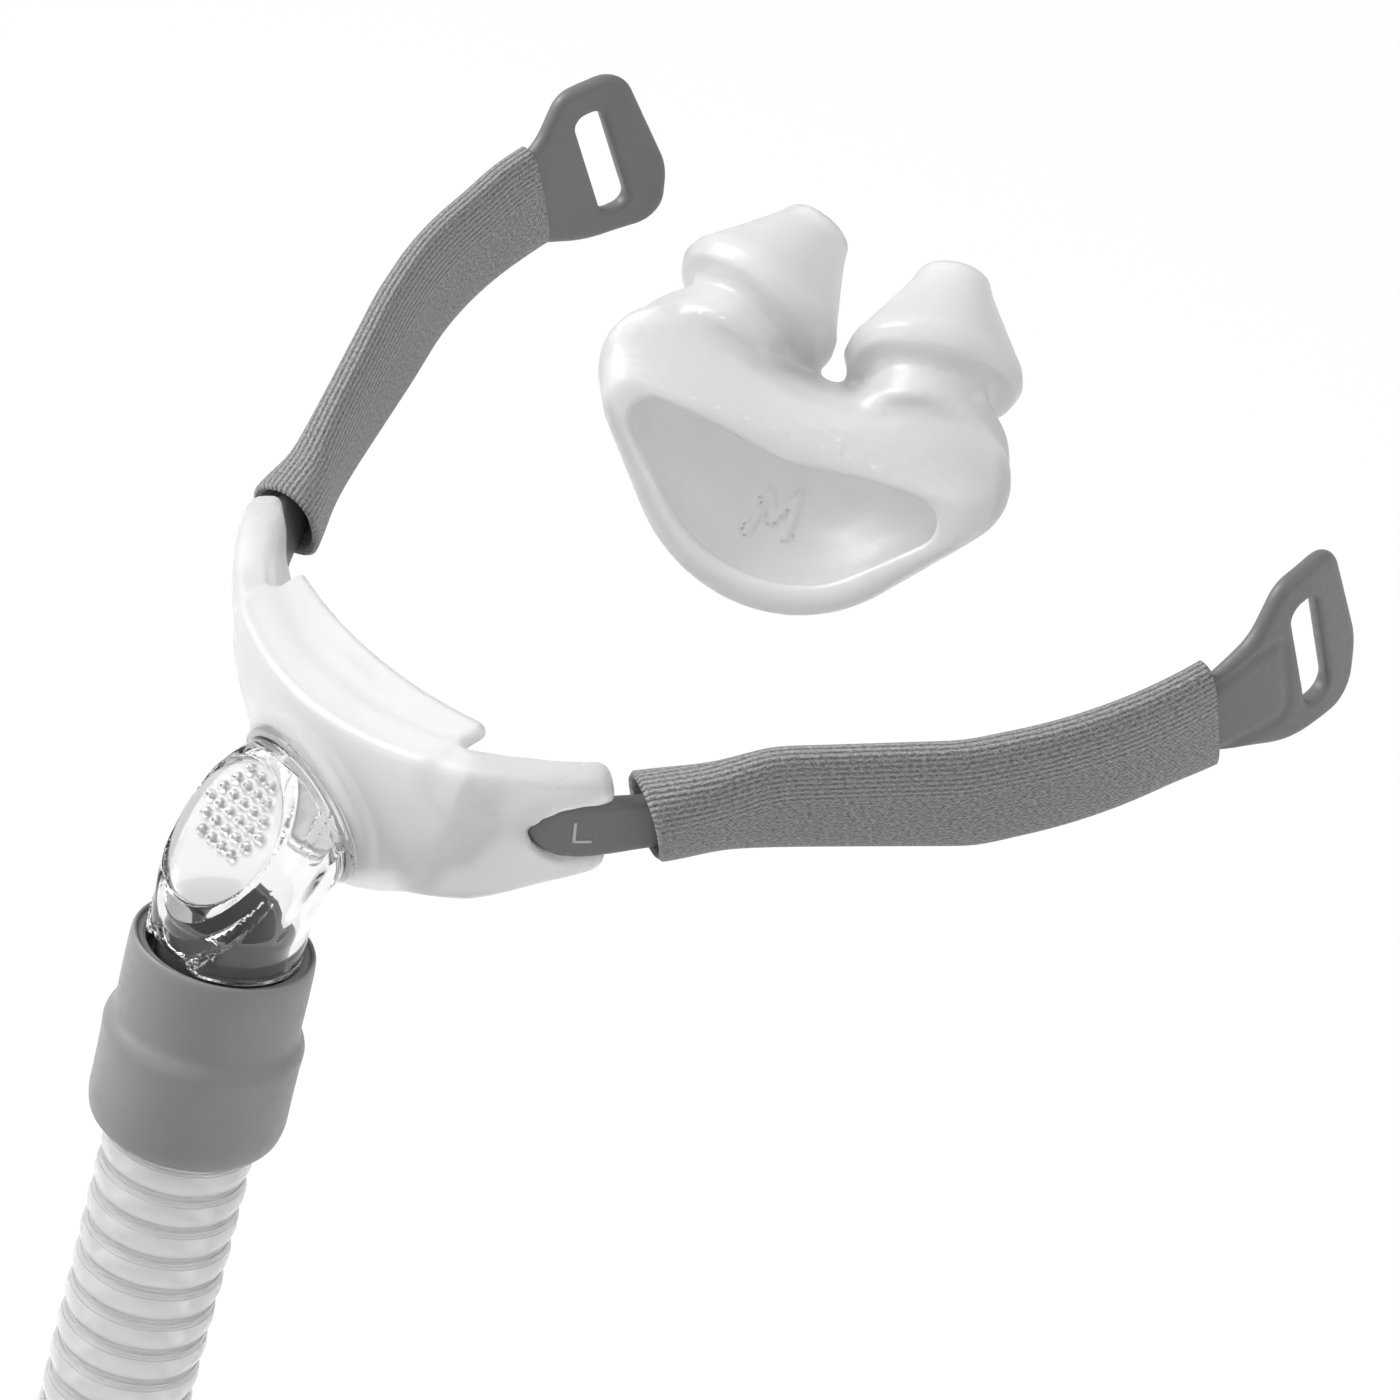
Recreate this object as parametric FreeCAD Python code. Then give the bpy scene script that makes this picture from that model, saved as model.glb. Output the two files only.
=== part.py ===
import FreeCAD, Part
import math
import os

# Nasal pillows mask. Millimetres. X to the wearer's left, Y from the mouth side
# back to the head, Z up. The origin is the middle of the docking port.
V = FreeCAD.Vector
X_AXIS = V(1, 0, 0)
Y_AXIS = V(0, 1, 0)
Z_AXIS = V(0, 0, 1)

# Clearances and joints between pieces
swivel_clearance = 0.05
face_clearance = 0.12

# Mask frame
wrap_radius = 52.3
wrap_bulge = 3.2
wrap_front_y = -8.9
wrap_centre_z = -3.0
rear_radius = 89.0
rear_centre_y = 91.4
wing_thickness = 3.7
wing_half_width = 40.2
frame_top = 12.5
frame_bottom = -17.6
wing_tip_top = 8.4
wing_tip_bottom = -2.8
front_wall = 2.4
dock_width = 53.0
dock_top = 12.5
dock_bottom = -16.0
dock_corner = 4.0
dock_wall = 2.0

# Boss that takes the elbow
boss_z = -4.5
boss_radius = 16.2
boss_face_radius = 12.7
boss_face_y = -12.9
boss_base_y = -3.0
boss_wall_depth = 3.4

# Elbow
elbow_radius = 10.9
elbow_bore = 8.9
elbow_turn = 64.5
elbow_corner_y = -22.2
elbow_outlet_length = 17.2
neck_collar_radius = 12.1
neck_collar_depth = 1.3
neck_spigot_radius = 9.7
neck_spigot_bore = 8.0
snap_bead = 0.5
vent_depth = 6.3
vent_wall = 1.8
vent_hole_radius = 0.45
vent_nipple_radius = 0.95
vent_nipple_height = 0.7
vent_pitch = 2.35
vent_shift = 1.6
vent_sides = 8

# Hose, its cuffs and swivel connectors
hose_radius = 10.7
hose_bore = 8.0
cuff_start = 16.6
cuff_length = 30.2
cuff_top_radius = 12.7
cuff_mouth_radius = 11.7
cuff_mouth_depth = 3.5
cuff_low_radius = 13.9
cuff_step_at = 13.0
cuff_hose_depth = 15.0
connector_bore = 7.2
connector_reach = 8.6
hose_runs = [30.0, 44.0, 50.0, 54.0, 54.0, 46.0]
hose_turns = [2.0, -6.5, -7.5, -7.0, -5.5]
far_cuff_length = 27.0
far_cuff_radius = 13.4
far_cuff_lip_radius = 12.4
far_tube_radius = 11.0
far_tube_bore = 9.2
far_tube_length = 21.0
far_collar_radius = 12.2
far_collar_length = 2.4
far_neck_radius = 9.6

# Side arms
arm_thickness = 2.6
arm_head_angle = 37.7
arm_line_angle = 57.2
arm_bend_y = 56.0
arm_bend_radius = 62.0
head_y = 1.9
head_z = 2.6
head_height = 8.0
strip_height = 8.0
loop_top = 16.8
loop_bottom = -12.4
loop_rear_y = 108.4
sag_left = -2.0
sag_right = 2.0
groove_depth = 0.5

# Cloth sleeves
cloth = 1.3
sleeve_mouth_y = 14.0
sleeve_end_y = 80.5
sleeve_mouth_z = 3.2
sleeve_mouth_height = 12.8
sleeve_swell_height = 18.0
sleeve_mid_height = 17.6
sleeve_end_height = 16.6
sleeve_mouth_gap = 2.3
sleeve_flare_length = 11.0

# Cushion, taken off and lying clear behind the frame
cushion_x = 1.6
cushion_y = 72.4
cushion_z = 8.9
cushion_yaw = 36.0
cushion_pitch = -27.5
cushion_roll = 15.5
cushion_wall = 2.2
cushion_depth = 18.0
lip_half_width = 32.7
lip_apex = 39.2
lip_corner = 4.5
lip_bottom_radius = 23.7
lip_opening = 4.6
shoulder_rise = 13.5
saddle_rise = 6.2
saddle_radius = 22.0
pillow_x = 13.4
pillow_y = 16.0
pillow_z = 12.6
pillow_lean_in = 11.5
pillow_rise = 46.0
flange_radius = 12.6
flange_thickness = 3.4
pillow_length = 14.5
tip_radius = 5.3
tip_bore = 3.3
stalk_radius = 7.4
stalk_length = 9.0


def rad(a):
    return math.radians(a)


def move(shape, v):
    out = shape.copy()
    out.translate(v)
    return out


def turned(shape, centre, axis, angle):
    out = shape.copy()
    out.rotate(centre, axis, angle)
    return out


def wrap_centre():
    return V(0, wrap_front_y + wrap_radius, 0)


def mirrored(shape):
    return shape.mirror(V(0, 0, 0), X_AXIS)


def along_y(radius, y0, y1, z=0.0, x=0.0):
    return Part.makeCylinder(radius, y1 - y0, V(x, y0, z), Y_AXIS)


def upright(radius, cx, cy, z0=-60.0, z1=60.0):
    return Part.makeCylinder(radius, z1 - z0, V(cx, cy, z0), Z_AXIS)


def corner_cut(before, corner, after, radius):
    a = (before - corner)
    b = (after - corner)
    a.normalize()
    b.normalize()
    half = a.getAngle(b) / 2.0
    cut = radius / math.tan(half)
    start = corner + a * cut
    end = corner + b * cut
    inward = a + b
    inward.normalize()
    centre = corner + inward * (radius / math.sin(half))
    middle = centre - inward * radius
    return start, middle, end


def rounded_wire(corners, radii):
    n = len(corners)
    edges = []
    cuts = []
    for i in range(n):
        cuts.append(corner_cut(corners[i - 1], corners[i], corners[(i + 1) % n], radii[i]))
    for i in range(n):
        start, middle, end = cuts[i]
        edges.append(Part.Arc(start, middle, end).toShape())
        edges.append(Part.makeLine(end, cuts[(i + 1) % n][0]))
    return Part.Wire(edges)


def side_prism(corners_yz, radii, half=120.0):
    wire = rounded_wire([V(-half, y, z) for y, z in corners_yz], radii)
    return Part.Face(wire).extrude(V(2 * half, 0, 0))


def front_prism(corners_xz, radii, y0, y1):
    wire = rounded_wire([V(x, y0, z) for x, z in corners_xz], radii)
    return Part.Face(wire).extrude(V(0, y1 - y0, 0))


def revolve_about(points, origin, axis):
    # points are radius and distance along the axis, kept on one side of it
    side = V(1, 0, 0)
    line = [origin + side * r + axis * s for r, s in points]
    face = Part.Face(Part.makePolygon(line + [line[0]]))
    return face.revolve(origin, axis, 360)


def d_wire(width, top, bottom, corner, y):
    half = width / 2.0
    low = top - corner
    k = corner * (1 - math.sqrt(0.5))
    a = V(-half + corner, y, top)
    b = V(half - corner, y, top)
    c = V(half, y, low)
    d = V(-half, y, low)
    edges = [Part.makeLine(a, b)]
    edges.append(Part.Arc(b, V(half - k, y, top - k), c).toShape())
    edges.append(Part.Arc(c, V(0, y, bottom), d).toShape())
    edges.append(Part.Arc(d, V(-half + k, y, top - k), a).toShape())
    return Part.Wire(edges)


def d_prism(width, top, bottom, corner, y0, y1):
    return Part.Face(d_wire(width, top, bottom, corner, y0)).extrude(V(0, y1 - y0, 0))


def outlet_axis():
    return V(0, -math.cos(rad(elbow_turn)), -math.sin(rad(elbow_turn)))


def corner_point():
    return V(0, elbow_corner_y, boss_z)


def on_outlet(s):
    return corner_point() + outlet_axis() * s


# Arm strip in plan: wing arc, straight, then a bend in behind the cheek
def bend_start():
    r = wrap_radius - arm_thickness / 2.0
    x = r * math.sin(rad(arm_line_angle))
    y = wrap_centre().y - r * math.cos(rad(arm_line_angle))
    run = arm_bend_y - y
    return V(x, y, 0), V(x + run / math.tan(rad(arm_line_angle)), arm_bend_y, 0)


def plan_edge(offset):
    r = wrap_radius - arm_thickness / 2.0 + offset
    out = V(math.sin(rad(arm_line_angle)), -math.cos(rad(arm_line_angle)), 0)
    first, second = bend_start()
    bend_centre = second - out * arm_bend_radius
    r2 = arm_bend_radius + offset
    wrap = wrap_centre()
    start_a = rad(arm_head_angle - 5.0)
    mid_a = rad((arm_head_angle - 5.0 + arm_line_angle) / 2.0)
    p0 = wrap + V(math.sin(start_a), -math.cos(start_a), 0) * r
    pm = wrap + V(math.sin(mid_a), -math.cos(mid_a), 0) * r
    p1 = first + out * offset
    p2 = second + out * offset
    sweep = 62.0
    a3 = rad(arm_line_angle + sweep / 2.0)
    a4 = rad(arm_line_angle + sweep)
    p3 = bend_centre + V(math.sin(a3), -math.cos(a3), 0) * r2
    p4 = bend_centre + V(math.sin(a4), -math.cos(a4), 0) * r2
    return [p0, pm, p1, p2, p3, p4]


def strip(outer, inner, z0=-40.0, z1=50.0):
    a = plan_edge(outer)
    b = plan_edge(inner)
    edges = [Part.Arc(a[0], a[1], a[2]).toShape(), Part.makeLine(a[2], a[3])]
    edges.append(Part.Arc(a[3], a[4], a[5]).toShape())
    edges.append(Part.makeLine(a[5], b[5]))
    edges.append(Part.Arc(b[5], b[4], b[3]).toShape())
    edges.append(Part.makeLine(b[3], b[2]))
    edges.append(Part.Arc(b[2], b[1], b[0]).toShape())
    edges.append(Part.makeLine(b[0], a[0]))
    face = Part.Face(Part.Wire(edges))
    return move(face.extrude(V(0, 0, z1 - z0)), V(0, 0, z0))


def arm_profile(sag):
    top = head_z + head_height / 2.0
    low = head_z - head_height / 2.0
    mid = strip_height / 2.0
    corners = [(head_y, low), (head_y, top), (20, 2.4 + mid)]
    corners += [(46, 0.8 + sag + mid), (74, 1.0 + mid)]
    radii = [3.9, 3.9, 60.0, 60.0, 30.0]
    corners += [(88.0, loop_top - 6.2), (93.0, loop_top), (103.8, loop_top)]
    radii += [8.0, 5.0, 5.0]
    corners += [(loop_rear_y, -3.0), (loop_rear_y - 2.0, loop_bottom), (93.0, loop_bottom + 1.6)]
    radii += [12.0, 5.0, 20.0]
    corners += [(80.0, -0.2 - mid), (46, 0.8 + sag - mid), (20, 2.4 - mid)]
    radii += [30.0, 60.0, 60.0]
    return corners, radii


def make_arm(sag):
    corners, radii = arm_profile(sag)
    half = arm_thickness / 2.0
    body = strip(half, -half).common(side_prism(corners, radii))
    slot = [(94.2, loop_top - 5.2), (99.2, loop_top - 5.2)]
    slot += [(101.6, loop_bottom + 5.4), (96.6, loop_bottom + 5.4)]
    body = body.cut(side_prism(slot, [1.9, 1.9, 1.9, 1.9]))
    panel = [(72.0, -3.6), (72.0, 4.6), (88.0, loop_top - 8.8), (92.6, loop_top - 8.8)]
    panel.append((93.2, loop_bottom + 6.6))
    skin = strip(half + 2.0, half - groove_depth).common(side_prism(panel, [2, 2, 2, 2, 2.6]))
    return body.cut(skin)


def head_pocket():
    corners, radii = arm_profile(0.0)
    half = arm_thickness / 2.0
    return strip(half + 6.0, -half).common(side_prism(corners, radii))


def sleeve_profile(inset, y0, y1, sag):
    ms = sleeve_mouth_height / 2.0 - inset
    sw = sleeve_swell_height / 2.0 - inset
    mm = sleeve_mid_height / 2.0 - inset
    me = sleeve_end_height / 2.0 - inset
    mz = sleeve_mouth_z
    corners = [(y0, mz - ms), (y0, mz + ms), (22.0, mz + ms), (29.0, 2.6 + sw)]
    corners += [(50.0, 0.8 + sag + mm), (74.0, 1.6 + me), (y1, 2.4 + me), (y1, 1.2 - me)]
    corners += [(74.0, 1.6 - me), (50.0, 0.8 + sag - mm), (22.0, mz - ms)]
    radii = [0.6, 0.6, 8.0, 10.0, 40.0, 30.0, 0.6, 0.6, 30.0, 40.0, 14.0]
    return side_prism(corners, radii)


def sleeve_box(y, ahead):
    # half space behind or ahead of a cut square to the arm
    first, second = bend_start()
    along = V(math.cos(rad(arm_line_angle)), math.sin(rad(arm_line_angle)), 0)
    where = first + along * ((y - first.y) / along.y)
    box = Part.makeBox(120, 120, 120, V(-60, -120 if ahead else 0, -60))
    box.rotate(V(0, 0, 0), Z_AXIS, arm_line_angle - 90.0)
    return move(box, where)


def flare(extra, y0, y1):
    first, second = bend_start()
    along = V(math.cos(rad(arm_line_angle)), math.sin(rad(arm_line_angle)), 0)
    out = V(along.y, -along.x, 0)
    at = first + along * ((y0 - first.y) / along.y)
    end = at + along * (y1 - y0)
    half = arm_thickness / 2.0
    pts = [at + out * (half + extra), end + out * half, end - out * half]
    pts.append(at - out * (half + extra))
    face = Part.Face(Part.makePolygon(pts + [pts[0]]))
    return move(face.extrude(V(0, 0, 80)), V(0, 0, -40))


def make_sleeve(sag):
    half = arm_thickness / 2.0
    reach = 25.0
    outer = strip(half + cloth, -half - cloth)
    tail_y = sleeve_mouth_y + 1.5 * sleeve_flare_length
    wide = flare(sleeve_mouth_gap + cloth, sleeve_mouth_y - 0.5, tail_y)
    outer = outer.fuse(wide)
    outer = outer.common(sleeve_profile(0.0, sleeve_mouth_y - reach, sleeve_end_y + reach, sag))
    void = strip(half, -half)
    tail_y = sleeve_mouth_y + sleeve_flare_length
    void = void.fuse(flare(sleeve_mouth_gap, sleeve_mouth_y - 1.0, tail_y))
    void = void.common(sleeve_profile(cloth, sleeve_mouth_y - reach, sleeve_end_y + reach, sag))
    body = outer.cut(void)
    body = body.cut(sleeve_box(sleeve_mouth_y, True))
    tail = Part.makeBox(200, 80, 160, V(-40, 0, -60))
    tail.rotate(V(0, 0, 0), Z_AXIS, -8.0)
    tail = move(tail, V(76.0, sleeve_end_y, 0))
    return body.cut(tail)


def frame_outline(y0, y1):
    top = [(-wing_half_width, wing_tip_top), (-30.5, frame_top), (30.5, frame_top)]
    top.append((wing_half_width, wing_tip_top))
    low = [(wing_half_width, wing_tip_bottom), (30.0, -9.8), (12.0, frame_bottom)]
    low += [(-12.0, frame_bottom), (-30.0, -9.8), (-wing_half_width, wing_tip_bottom)]
    radii = [5.5, 14.0, 14.0, 5.5, 5.5, 34.0, 20.0, 20.0, 34.0, 5.5]
    return front_prism(top + low, radii, y0, y1)


def dome(inset):
    return Part.makeSphere(wrap_radius + wrap_bulge - inset, wrap_centre() + Z_AXIS * wrap_centre_z)


def make_boss():
    depth = boss_base_y - boss_face_y
    pts = [(0.0, boss_base_y), (boss_radius, boss_base_y)]
    for a in (22, 44, 66):
        drop = (boss_radius - boss_face_radius) * (1 - math.cos(rad(a)))
        pts.append((boss_radius - drop * 0.98, boss_base_y - depth * 0.92 * math.sin(rad(a))))
    pts += [(boss_face_radius + 0.4, boss_face_y + 0.35)]
    pts += [(boss_face_radius, boss_face_y), (0.0, boss_face_y)]
    return revolve_about(pts, V(0, 0, boss_z), Y_AXIS)


def make_frame():
    shell = dome(0.0).cut(upright(wrap_radius - wing_thickness, 0, wrap_centre().y))
    wings = frame_outline(-20, 30).common(shell)
    dock = d_prism(dock_width, dock_top, dock_bottom, dock_corner, -8, 12)
    dock = dock.common(dome(0.0))
    dock = dock.cut(upright(rear_radius, 0, rear_centre_y))
    body = wings.fuse(dock).fuse(make_boss())
    top = dock_top - dock_wall
    low = dock_bottom + dock_wall
    hollow = d_prism(dock_width - 2 * dock_wall, top, low, dock_corner - 1.2, -20, 30)
    hollow = hollow.common(dome(front_wall))
    mouth = V(0, boss_face_y + boss_wall_depth, boss_z)
    throat = Part.makeCone(neck_spigot_radius + 1.2, boss_radius - 2.6, 9.0, mouth, Y_AXIS)
    bore = along_y(neck_spigot_radius + swivel_clearance, boss_face_y - 5, 5, boss_z)
    body = body.cut(hollow.fuse(throat)).cut(bore)
    pocket = head_pocket()
    body = body.cut(pocket).cut(mirrored(pocket))
    return body.removeSplitter()


def vent_axis():
    a = rad((180.0 - elbow_turn) / 2.0)
    return V(0, -math.cos(a), math.sin(a))


def half_space(point, normal, size=80.0):
    face = Part.makePlane(size, size, V(-size / 2, -size / 2, 0))
    solid = face.extrude(V(0, 0, size))
    rot = FreeCAD.Rotation(Z_AXIS, normal)
    solid.Placement = FreeCAD.Placement(point, rot)
    return solid


def bent_tube(radius, start_y, length):
    run = start_y - elbow_corner_y
    first = Part.makeCylinder(radius, run + 30, corner_point() - Y_AXIS * 30, Y_AXIS)
    second = Part.makeCylinder(radius, length + 30, corner_point() - outlet_axis() * 30, outlet_axis())
    split = outlet_axis() - Y_AXIS
    split.normalize()
    first = first.cut(half_space(corner_point(), split))
    second = second.cut(half_space(corner_point(), split * -1.0))
    return first.fuse(second)


def taper(foot, axis, low_radius, top_radius, height):
    rings = []
    for s, radius in ((0.0, low_radius), (height, top_radius)):
        corners = []
        for i in range(vent_sides):
            a = 2 * math.pi * (i + 0.5) / vent_sides
            side = X_AXIS * (radius * math.cos(a)) + axis.cross(X_AXIS) * (radius * math.sin(a))
            corners.append(foot + axis * s + side)
        rings.append(Part.makePolygon(corners + [corners[0]]))
    return Part.makeLoft(rings, True, True)


def vent_spots():
    across = X_AXIS
    down = vent_axis().cross(across)
    spots = []
    rows = [(-3, 3), (-2, 4), (-1, 5), (0, 6), (1, 5), (2, 4)]
    for row, count in rows:
        for i in range(count):
            u = (i - (count - 1) / 2.0) * vent_pitch
            spots.append(across * u + down * (row * vent_pitch * 0.9 - vent_shift))
    return spots


def make_elbow():
    collar_y = boss_face_y - face_clearance
    body = bent_tube(elbow_radius, collar_y, elbow_outlet_length)
    collar = along_y(neck_collar_radius, collar_y - neck_collar_depth, collar_y, boss_z)
    body = body.fuse(collar)
    end_y = boss_face_y + boss_wall_depth + 1.6
    spigot = along_y(neck_spigot_radius, collar_y - 1, end_y, boss_z)
    bead_y = boss_face_y + boss_wall_depth + face_clearance
    bead = along_y(neck_spigot_radius + snap_bead, bead_y, end_y, boss_z)
    body = body.fuse([spigot, bead])
    n = vent_axis()
    outside = corner_point() + n * vent_depth
    body = body.cut(half_space(outside, n))
    inside = bent_tube(elbow_bore, collar_y, elbow_outlet_length + 1)
    inside = inside.cut(half_space(corner_point() + n * (vent_depth - vent_wall), n))
    body = body.cut(inside)
    body = body.cut(along_y(neck_spigot_bore, collar_y - 3, end_y + 1, boss_z))
    tip = vent_hole_radius + 0.25
    pegs = []
    holes = []
    for spot in vent_spots():
        foot = outside + spot - n * 0.1
        inner = outside + spot - n * (vent_wall + 1.0)
        pegs.append(taper(foot, n, vent_nipple_radius, tip, vent_nipple_height + 0.1))
        holes.append(taper(inner, n, vent_hole_radius, vent_hole_radius, vent_wall + 3.0))
    body = body.fuse(pegs)
    body = body.cut(Part.makeCompound(holes))
    return body.removeSplitter()


def make_cuff():
    s = cuff_start
    e = cuff_length
    at = cuff_step_at
    pts = [(cuff_mouth_radius, 0.5), (cuff_mouth_radius + 0.5, 0.0), (cuff_top_radius, 0.5)]
    pts += [(cuff_top_radius + 0.15, at - 0.4), (cuff_low_radius, at + 2.0)]
    pts += [(cuff_low_radius, e - 2.6), (cuff_low_radius - 0.8, e - 0.8)]
    pts += [(cuff_low_radius - 2.2, e), (hose_radius, e), (hose_radius, cuff_mouth_depth)]
    pts += [(cuff_mouth_radius, cuff_mouth_depth)]
    return revolve_about([(r, s + a) for r, a in pts], corner_point(), outlet_axis())


def make_connector():
    s = cuff_start
    spigot = elbow_bore - swivel_clearance
    hose_at = cuff_length - cuff_hose_depth
    pts = [(connector_bore, -connector_reach), (spigot, -connector_reach)]
    pts += [(spigot, cuff_mouth_depth), (hose_radius, cuff_mouth_depth)]
    pts += [(hose_radius, hose_at), (connector_bore, hose_at)]
    return revolve_about([(r, s + a) for r, a in pts], corner_point(), outlet_axis())


def hose_points():
    at = on_outlet(cuff_start + cuff_length - cuff_hose_depth)
    angle = elbow_turn
    pts = [at]
    for i, run in enumerate(hose_runs):
        at = at + V(0, -math.cos(rad(angle)), -math.sin(rad(angle))) * run
        pts.append(at)
        if i < len(hose_turns):
            angle = angle - hose_turns[i]
    return pts, angle


def hose_path():
    pts, angle = hose_points()
    edges = []
    last = pts[0]
    for i in range(1, len(pts) - 1):
        shorter = min(hose_runs[i - 1], hose_runs[i])
        radius = 0.45 * shorter / math.tan(rad(abs(hose_turns[i - 1])) / 2.0)
        print("hose bend radius", round(radius, 1))
        start, middle, end = corner_cut(pts[i - 1], pts[i], pts[i + 1], radius)
        edges.append(Part.makeLine(last, start))
        edges.append(Part.Arc(start, middle, end).toShape())
        last = end
    edges.append(Part.makeLine(last, pts[-1]))
    return Part.Wire(edges)


def tube_along(path, radius):
    start = path.Vertexes[0].Point
    circle = Part.Wire(Part.makeCircle(radius, start, outlet_axis()))
    return path.makePipeShell([circle], True, False)


def make_hose():
    path = hose_path()
    hose = tube_along(path, hose_radius).cut(tube_along(path, hose_bore))
    area = math.pi * (hose_radius ** 2 - hose_bore ** 2)
    print("hose length", round(path.Length, 1), "volume", round(hose.Volume), "section x length", round(area * path.Length))
    return hose


def hose_end():
    pts, angle = hose_points()
    return pts[-1], V(0, -math.cos(rad(angle)), -math.sin(rad(angle)))


def make_far_cuff():
    end, axis = hose_end()
    e = far_cuff_length
    d = cuff_hose_depth
    pts = [(hose_radius, -d), (far_cuff_radius - 1.6, -d), (far_cuff_radius - 0.4, 1.0 - d)]
    pts += [(far_cuff_radius, 2.6 - d), (far_cuff_radius, e - d - 9.0), (far_cuff_lip_radius, e - d - 7.6)]
    pts += [(far_cuff_lip_radius, e - d - 0.6), (far_cuff_lip_radius - 0.6, e - d)]
    pts += [(far_neck_radius + swivel_clearance, e - d), (far_neck_radius + swivel_clearance, 5.0)]
    pts += [(far_neck_radius + 0.7, 5.0), (far_neck_radius + 0.7, 2.6), (hose_radius, 2.6), (hose_radius, 0.0)]
    line = [(r, a) for r, a in pts]
    return revolve_about(line, end, axis)


def make_far_connector():
    end, axis = hose_end()
    e = far_cuff_length - cuff_hose_depth + face_clearance
    pts = [(far_tube_bore - 1.4, 2.8), (far_neck_radius + 0.6, 2.8), (far_neck_radius + 0.6, 4.8)]
    pts += [(far_neck_radius, 4.9), (far_neck_radius, e), (far_collar_radius, e)]
    pts += [(far_collar_radius, e + far_collar_length), (far_tube_radius, e + far_collar_length)]
    pts += [(far_tube_radius, e + far_collar_length + far_tube_length - 0.8)]
    pts += [(far_tube_radius - 0.6, e + far_collar_length + far_tube_length)]
    pts += [(far_tube_bore, e + far_collar_length + far_tube_length), (far_tube_bore, e), (far_tube_bore - 1.4, e - 2.0)]
    return revolve_about(pts, end, axis)


def lip_wire(y, half_width, top, apex, corner, bottom_radius, inset=0.0):
    # three rounded corners, two above and one below, set in evenly
    lean = math.atan2(half_width, top + apex)
    side = math.tan(math.pi / 4 - lean / 2)
    half_width = half_width - inset / side
    points = [V(-half_width, y, top - inset), V(0, y, inset / math.sin(lean) - apex)]
    points.append(V(half_width, y, top - inset))
    radii = [max(corner - inset, 0.8), bottom_radius - inset, max(corner - inset, 0.8)]
    return rounded_wire(points, radii)


def cushion_sections(inset):
    w = lip_half_width
    a = lip_apex
    rise = shoulder_rise
    sections = [(0.0, w, 0.0, a, lip_corner, lip_bottom_radius)]
    sections.append((4.5, w + 9.0, rise - 3.5, a + 1.0, 9.0, lip_bottom_radius))
    sections.append((10.5, w + 9.0, rise, a - 3.0, 11.0, lip_bottom_radius - 2.0))
    sections.append((cushion_depth, w - 6.0, rise - 6.0, a - 16.0, 8.0, 10.0))
    return [lip_wire(*section, inset) for section in sections]


def pillow_frame(side):
    rise = rad(pillow_rise)
    lean = rad(pillow_lean_in)
    axis = V(-side * math.sin(lean), math.cos(lean) * math.cos(rise), math.cos(lean) * math.sin(rise))
    return V(side * pillow_x, pillow_y, pillow_z), axis


def about_pillow(side, points):
    # a section turned about the pillow axis from a side line square to it
    at, axis = pillow_frame(side)
    side_dir = axis.cross(Z_AXIS)
    side_dir.normalize()
    line = [at + side_dir * r + axis * s for r, s in points]
    return Part.Face(Part.makePolygon(line + [line[0]])).revolve(at, axis, 360)


def pillow_skin(side):
    f = flange_thickness
    pts = [(0, -stalk_length), (stalk_radius, -stalk_length), (stalk_radius, -f * 0.9)]
    pts += [(flange_radius - 0.9, -f * 0.6), (flange_radius, 0.0), (flange_radius - 1.2, f * 0.6)]
    pts += [(tip_radius + 2.3, pillow_length * 0.6), (tip_radius, pillow_length - 1.0)]
    pts += [(tip_radius - 0.8, pillow_length), (0, pillow_length)]
    return about_pillow(side, pts)


def pillow_void(side):
    f = flange_thickness
    pts = [(0, -stalk_length), (stalk_radius - 2.0, -stalk_length), (stalk_radius - 2.0, -f * 0.4)]
    pts += [(flange_radius - 3.8, 0.3), (tip_radius + 0.4, pillow_length * 0.6)]
    pts += [(tip_bore, pillow_length - 2.0), (tip_bore, pillow_length + 1), (0, pillow_length + 1)]
    return about_pillow(side, pts)


def make_cushion():
    saddle_z = saddle_rise + saddle_radius
    body = Part.makeLoft(cushion_sections(0.0), True, True)
    body = body.cut(along_y(saddle_radius, -5.0, cushion_depth + 5.0, saddle_z))
    body = body.fuse([pillow_skin(1), pillow_skin(-1)])
    room = Part.makeBox(160, cushion_depth - cushion_wall, 120, V(-80, 0, -60))
    void = Part.makeLoft(cushion_sections(cushion_wall), True, True).common(room)
    void = void.cut(along_y(saddle_radius + cushion_wall, -5.0, cushion_depth + 5.0, saddle_z))
    mouth = lip_wire(-1, lip_half_width, 0.0, lip_apex, lip_corner, lip_bottom_radius, lip_opening)
    mouth = Part.Face(mouth).extrude(V(0, 2, 0))
    body = body.cut(void.fuse([mouth, pillow_void(1), pillow_void(-1)]))
    body = turned(body, V(0, 0, 0), Y_AXIS, cushion_roll)
    body = turned(body, V(0, 0, 0), X_AXIS, cushion_pitch)
    body = turned(body, V(0, 0, 0), Z_AXIS, cushion_yaw)
    return move(body, V(cushion_x, cushion_y, cushion_z))


def save(name, shape):
    if len(shape.Solids) == 1:
        shape = shape.Solids[0]
    print(name, "valid", shape.isValid(), "solids", len(shape.Solids), "volume", round(shape.Volume))
    shape.exportStep(os.path.join("parts", name + ".step"))


def main():
    os.makedirs("parts", exist_ok=True)
    save("mask_frame", make_frame())
    save("elbow", make_elbow())
    save("hose_cuff", make_cuff())
    save("swivel_connector", make_connector())
    save("hose", make_hose())
    save("far_cuff", make_far_cuff())
    save("far_connector", make_far_connector())
    save("arm_left", make_arm(sag_left))
    save("arm_right", mirrored(make_arm(sag_right)))
    save("sleeve_left", make_sleeve(sag_left))
    save("sleeve_right", mirrored(make_sleeve(sag_right)))
    save("cushion", make_cushion())


main()
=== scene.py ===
import math

import bpy
import numpy as np
from mathutils import Matrix, Vector


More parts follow.
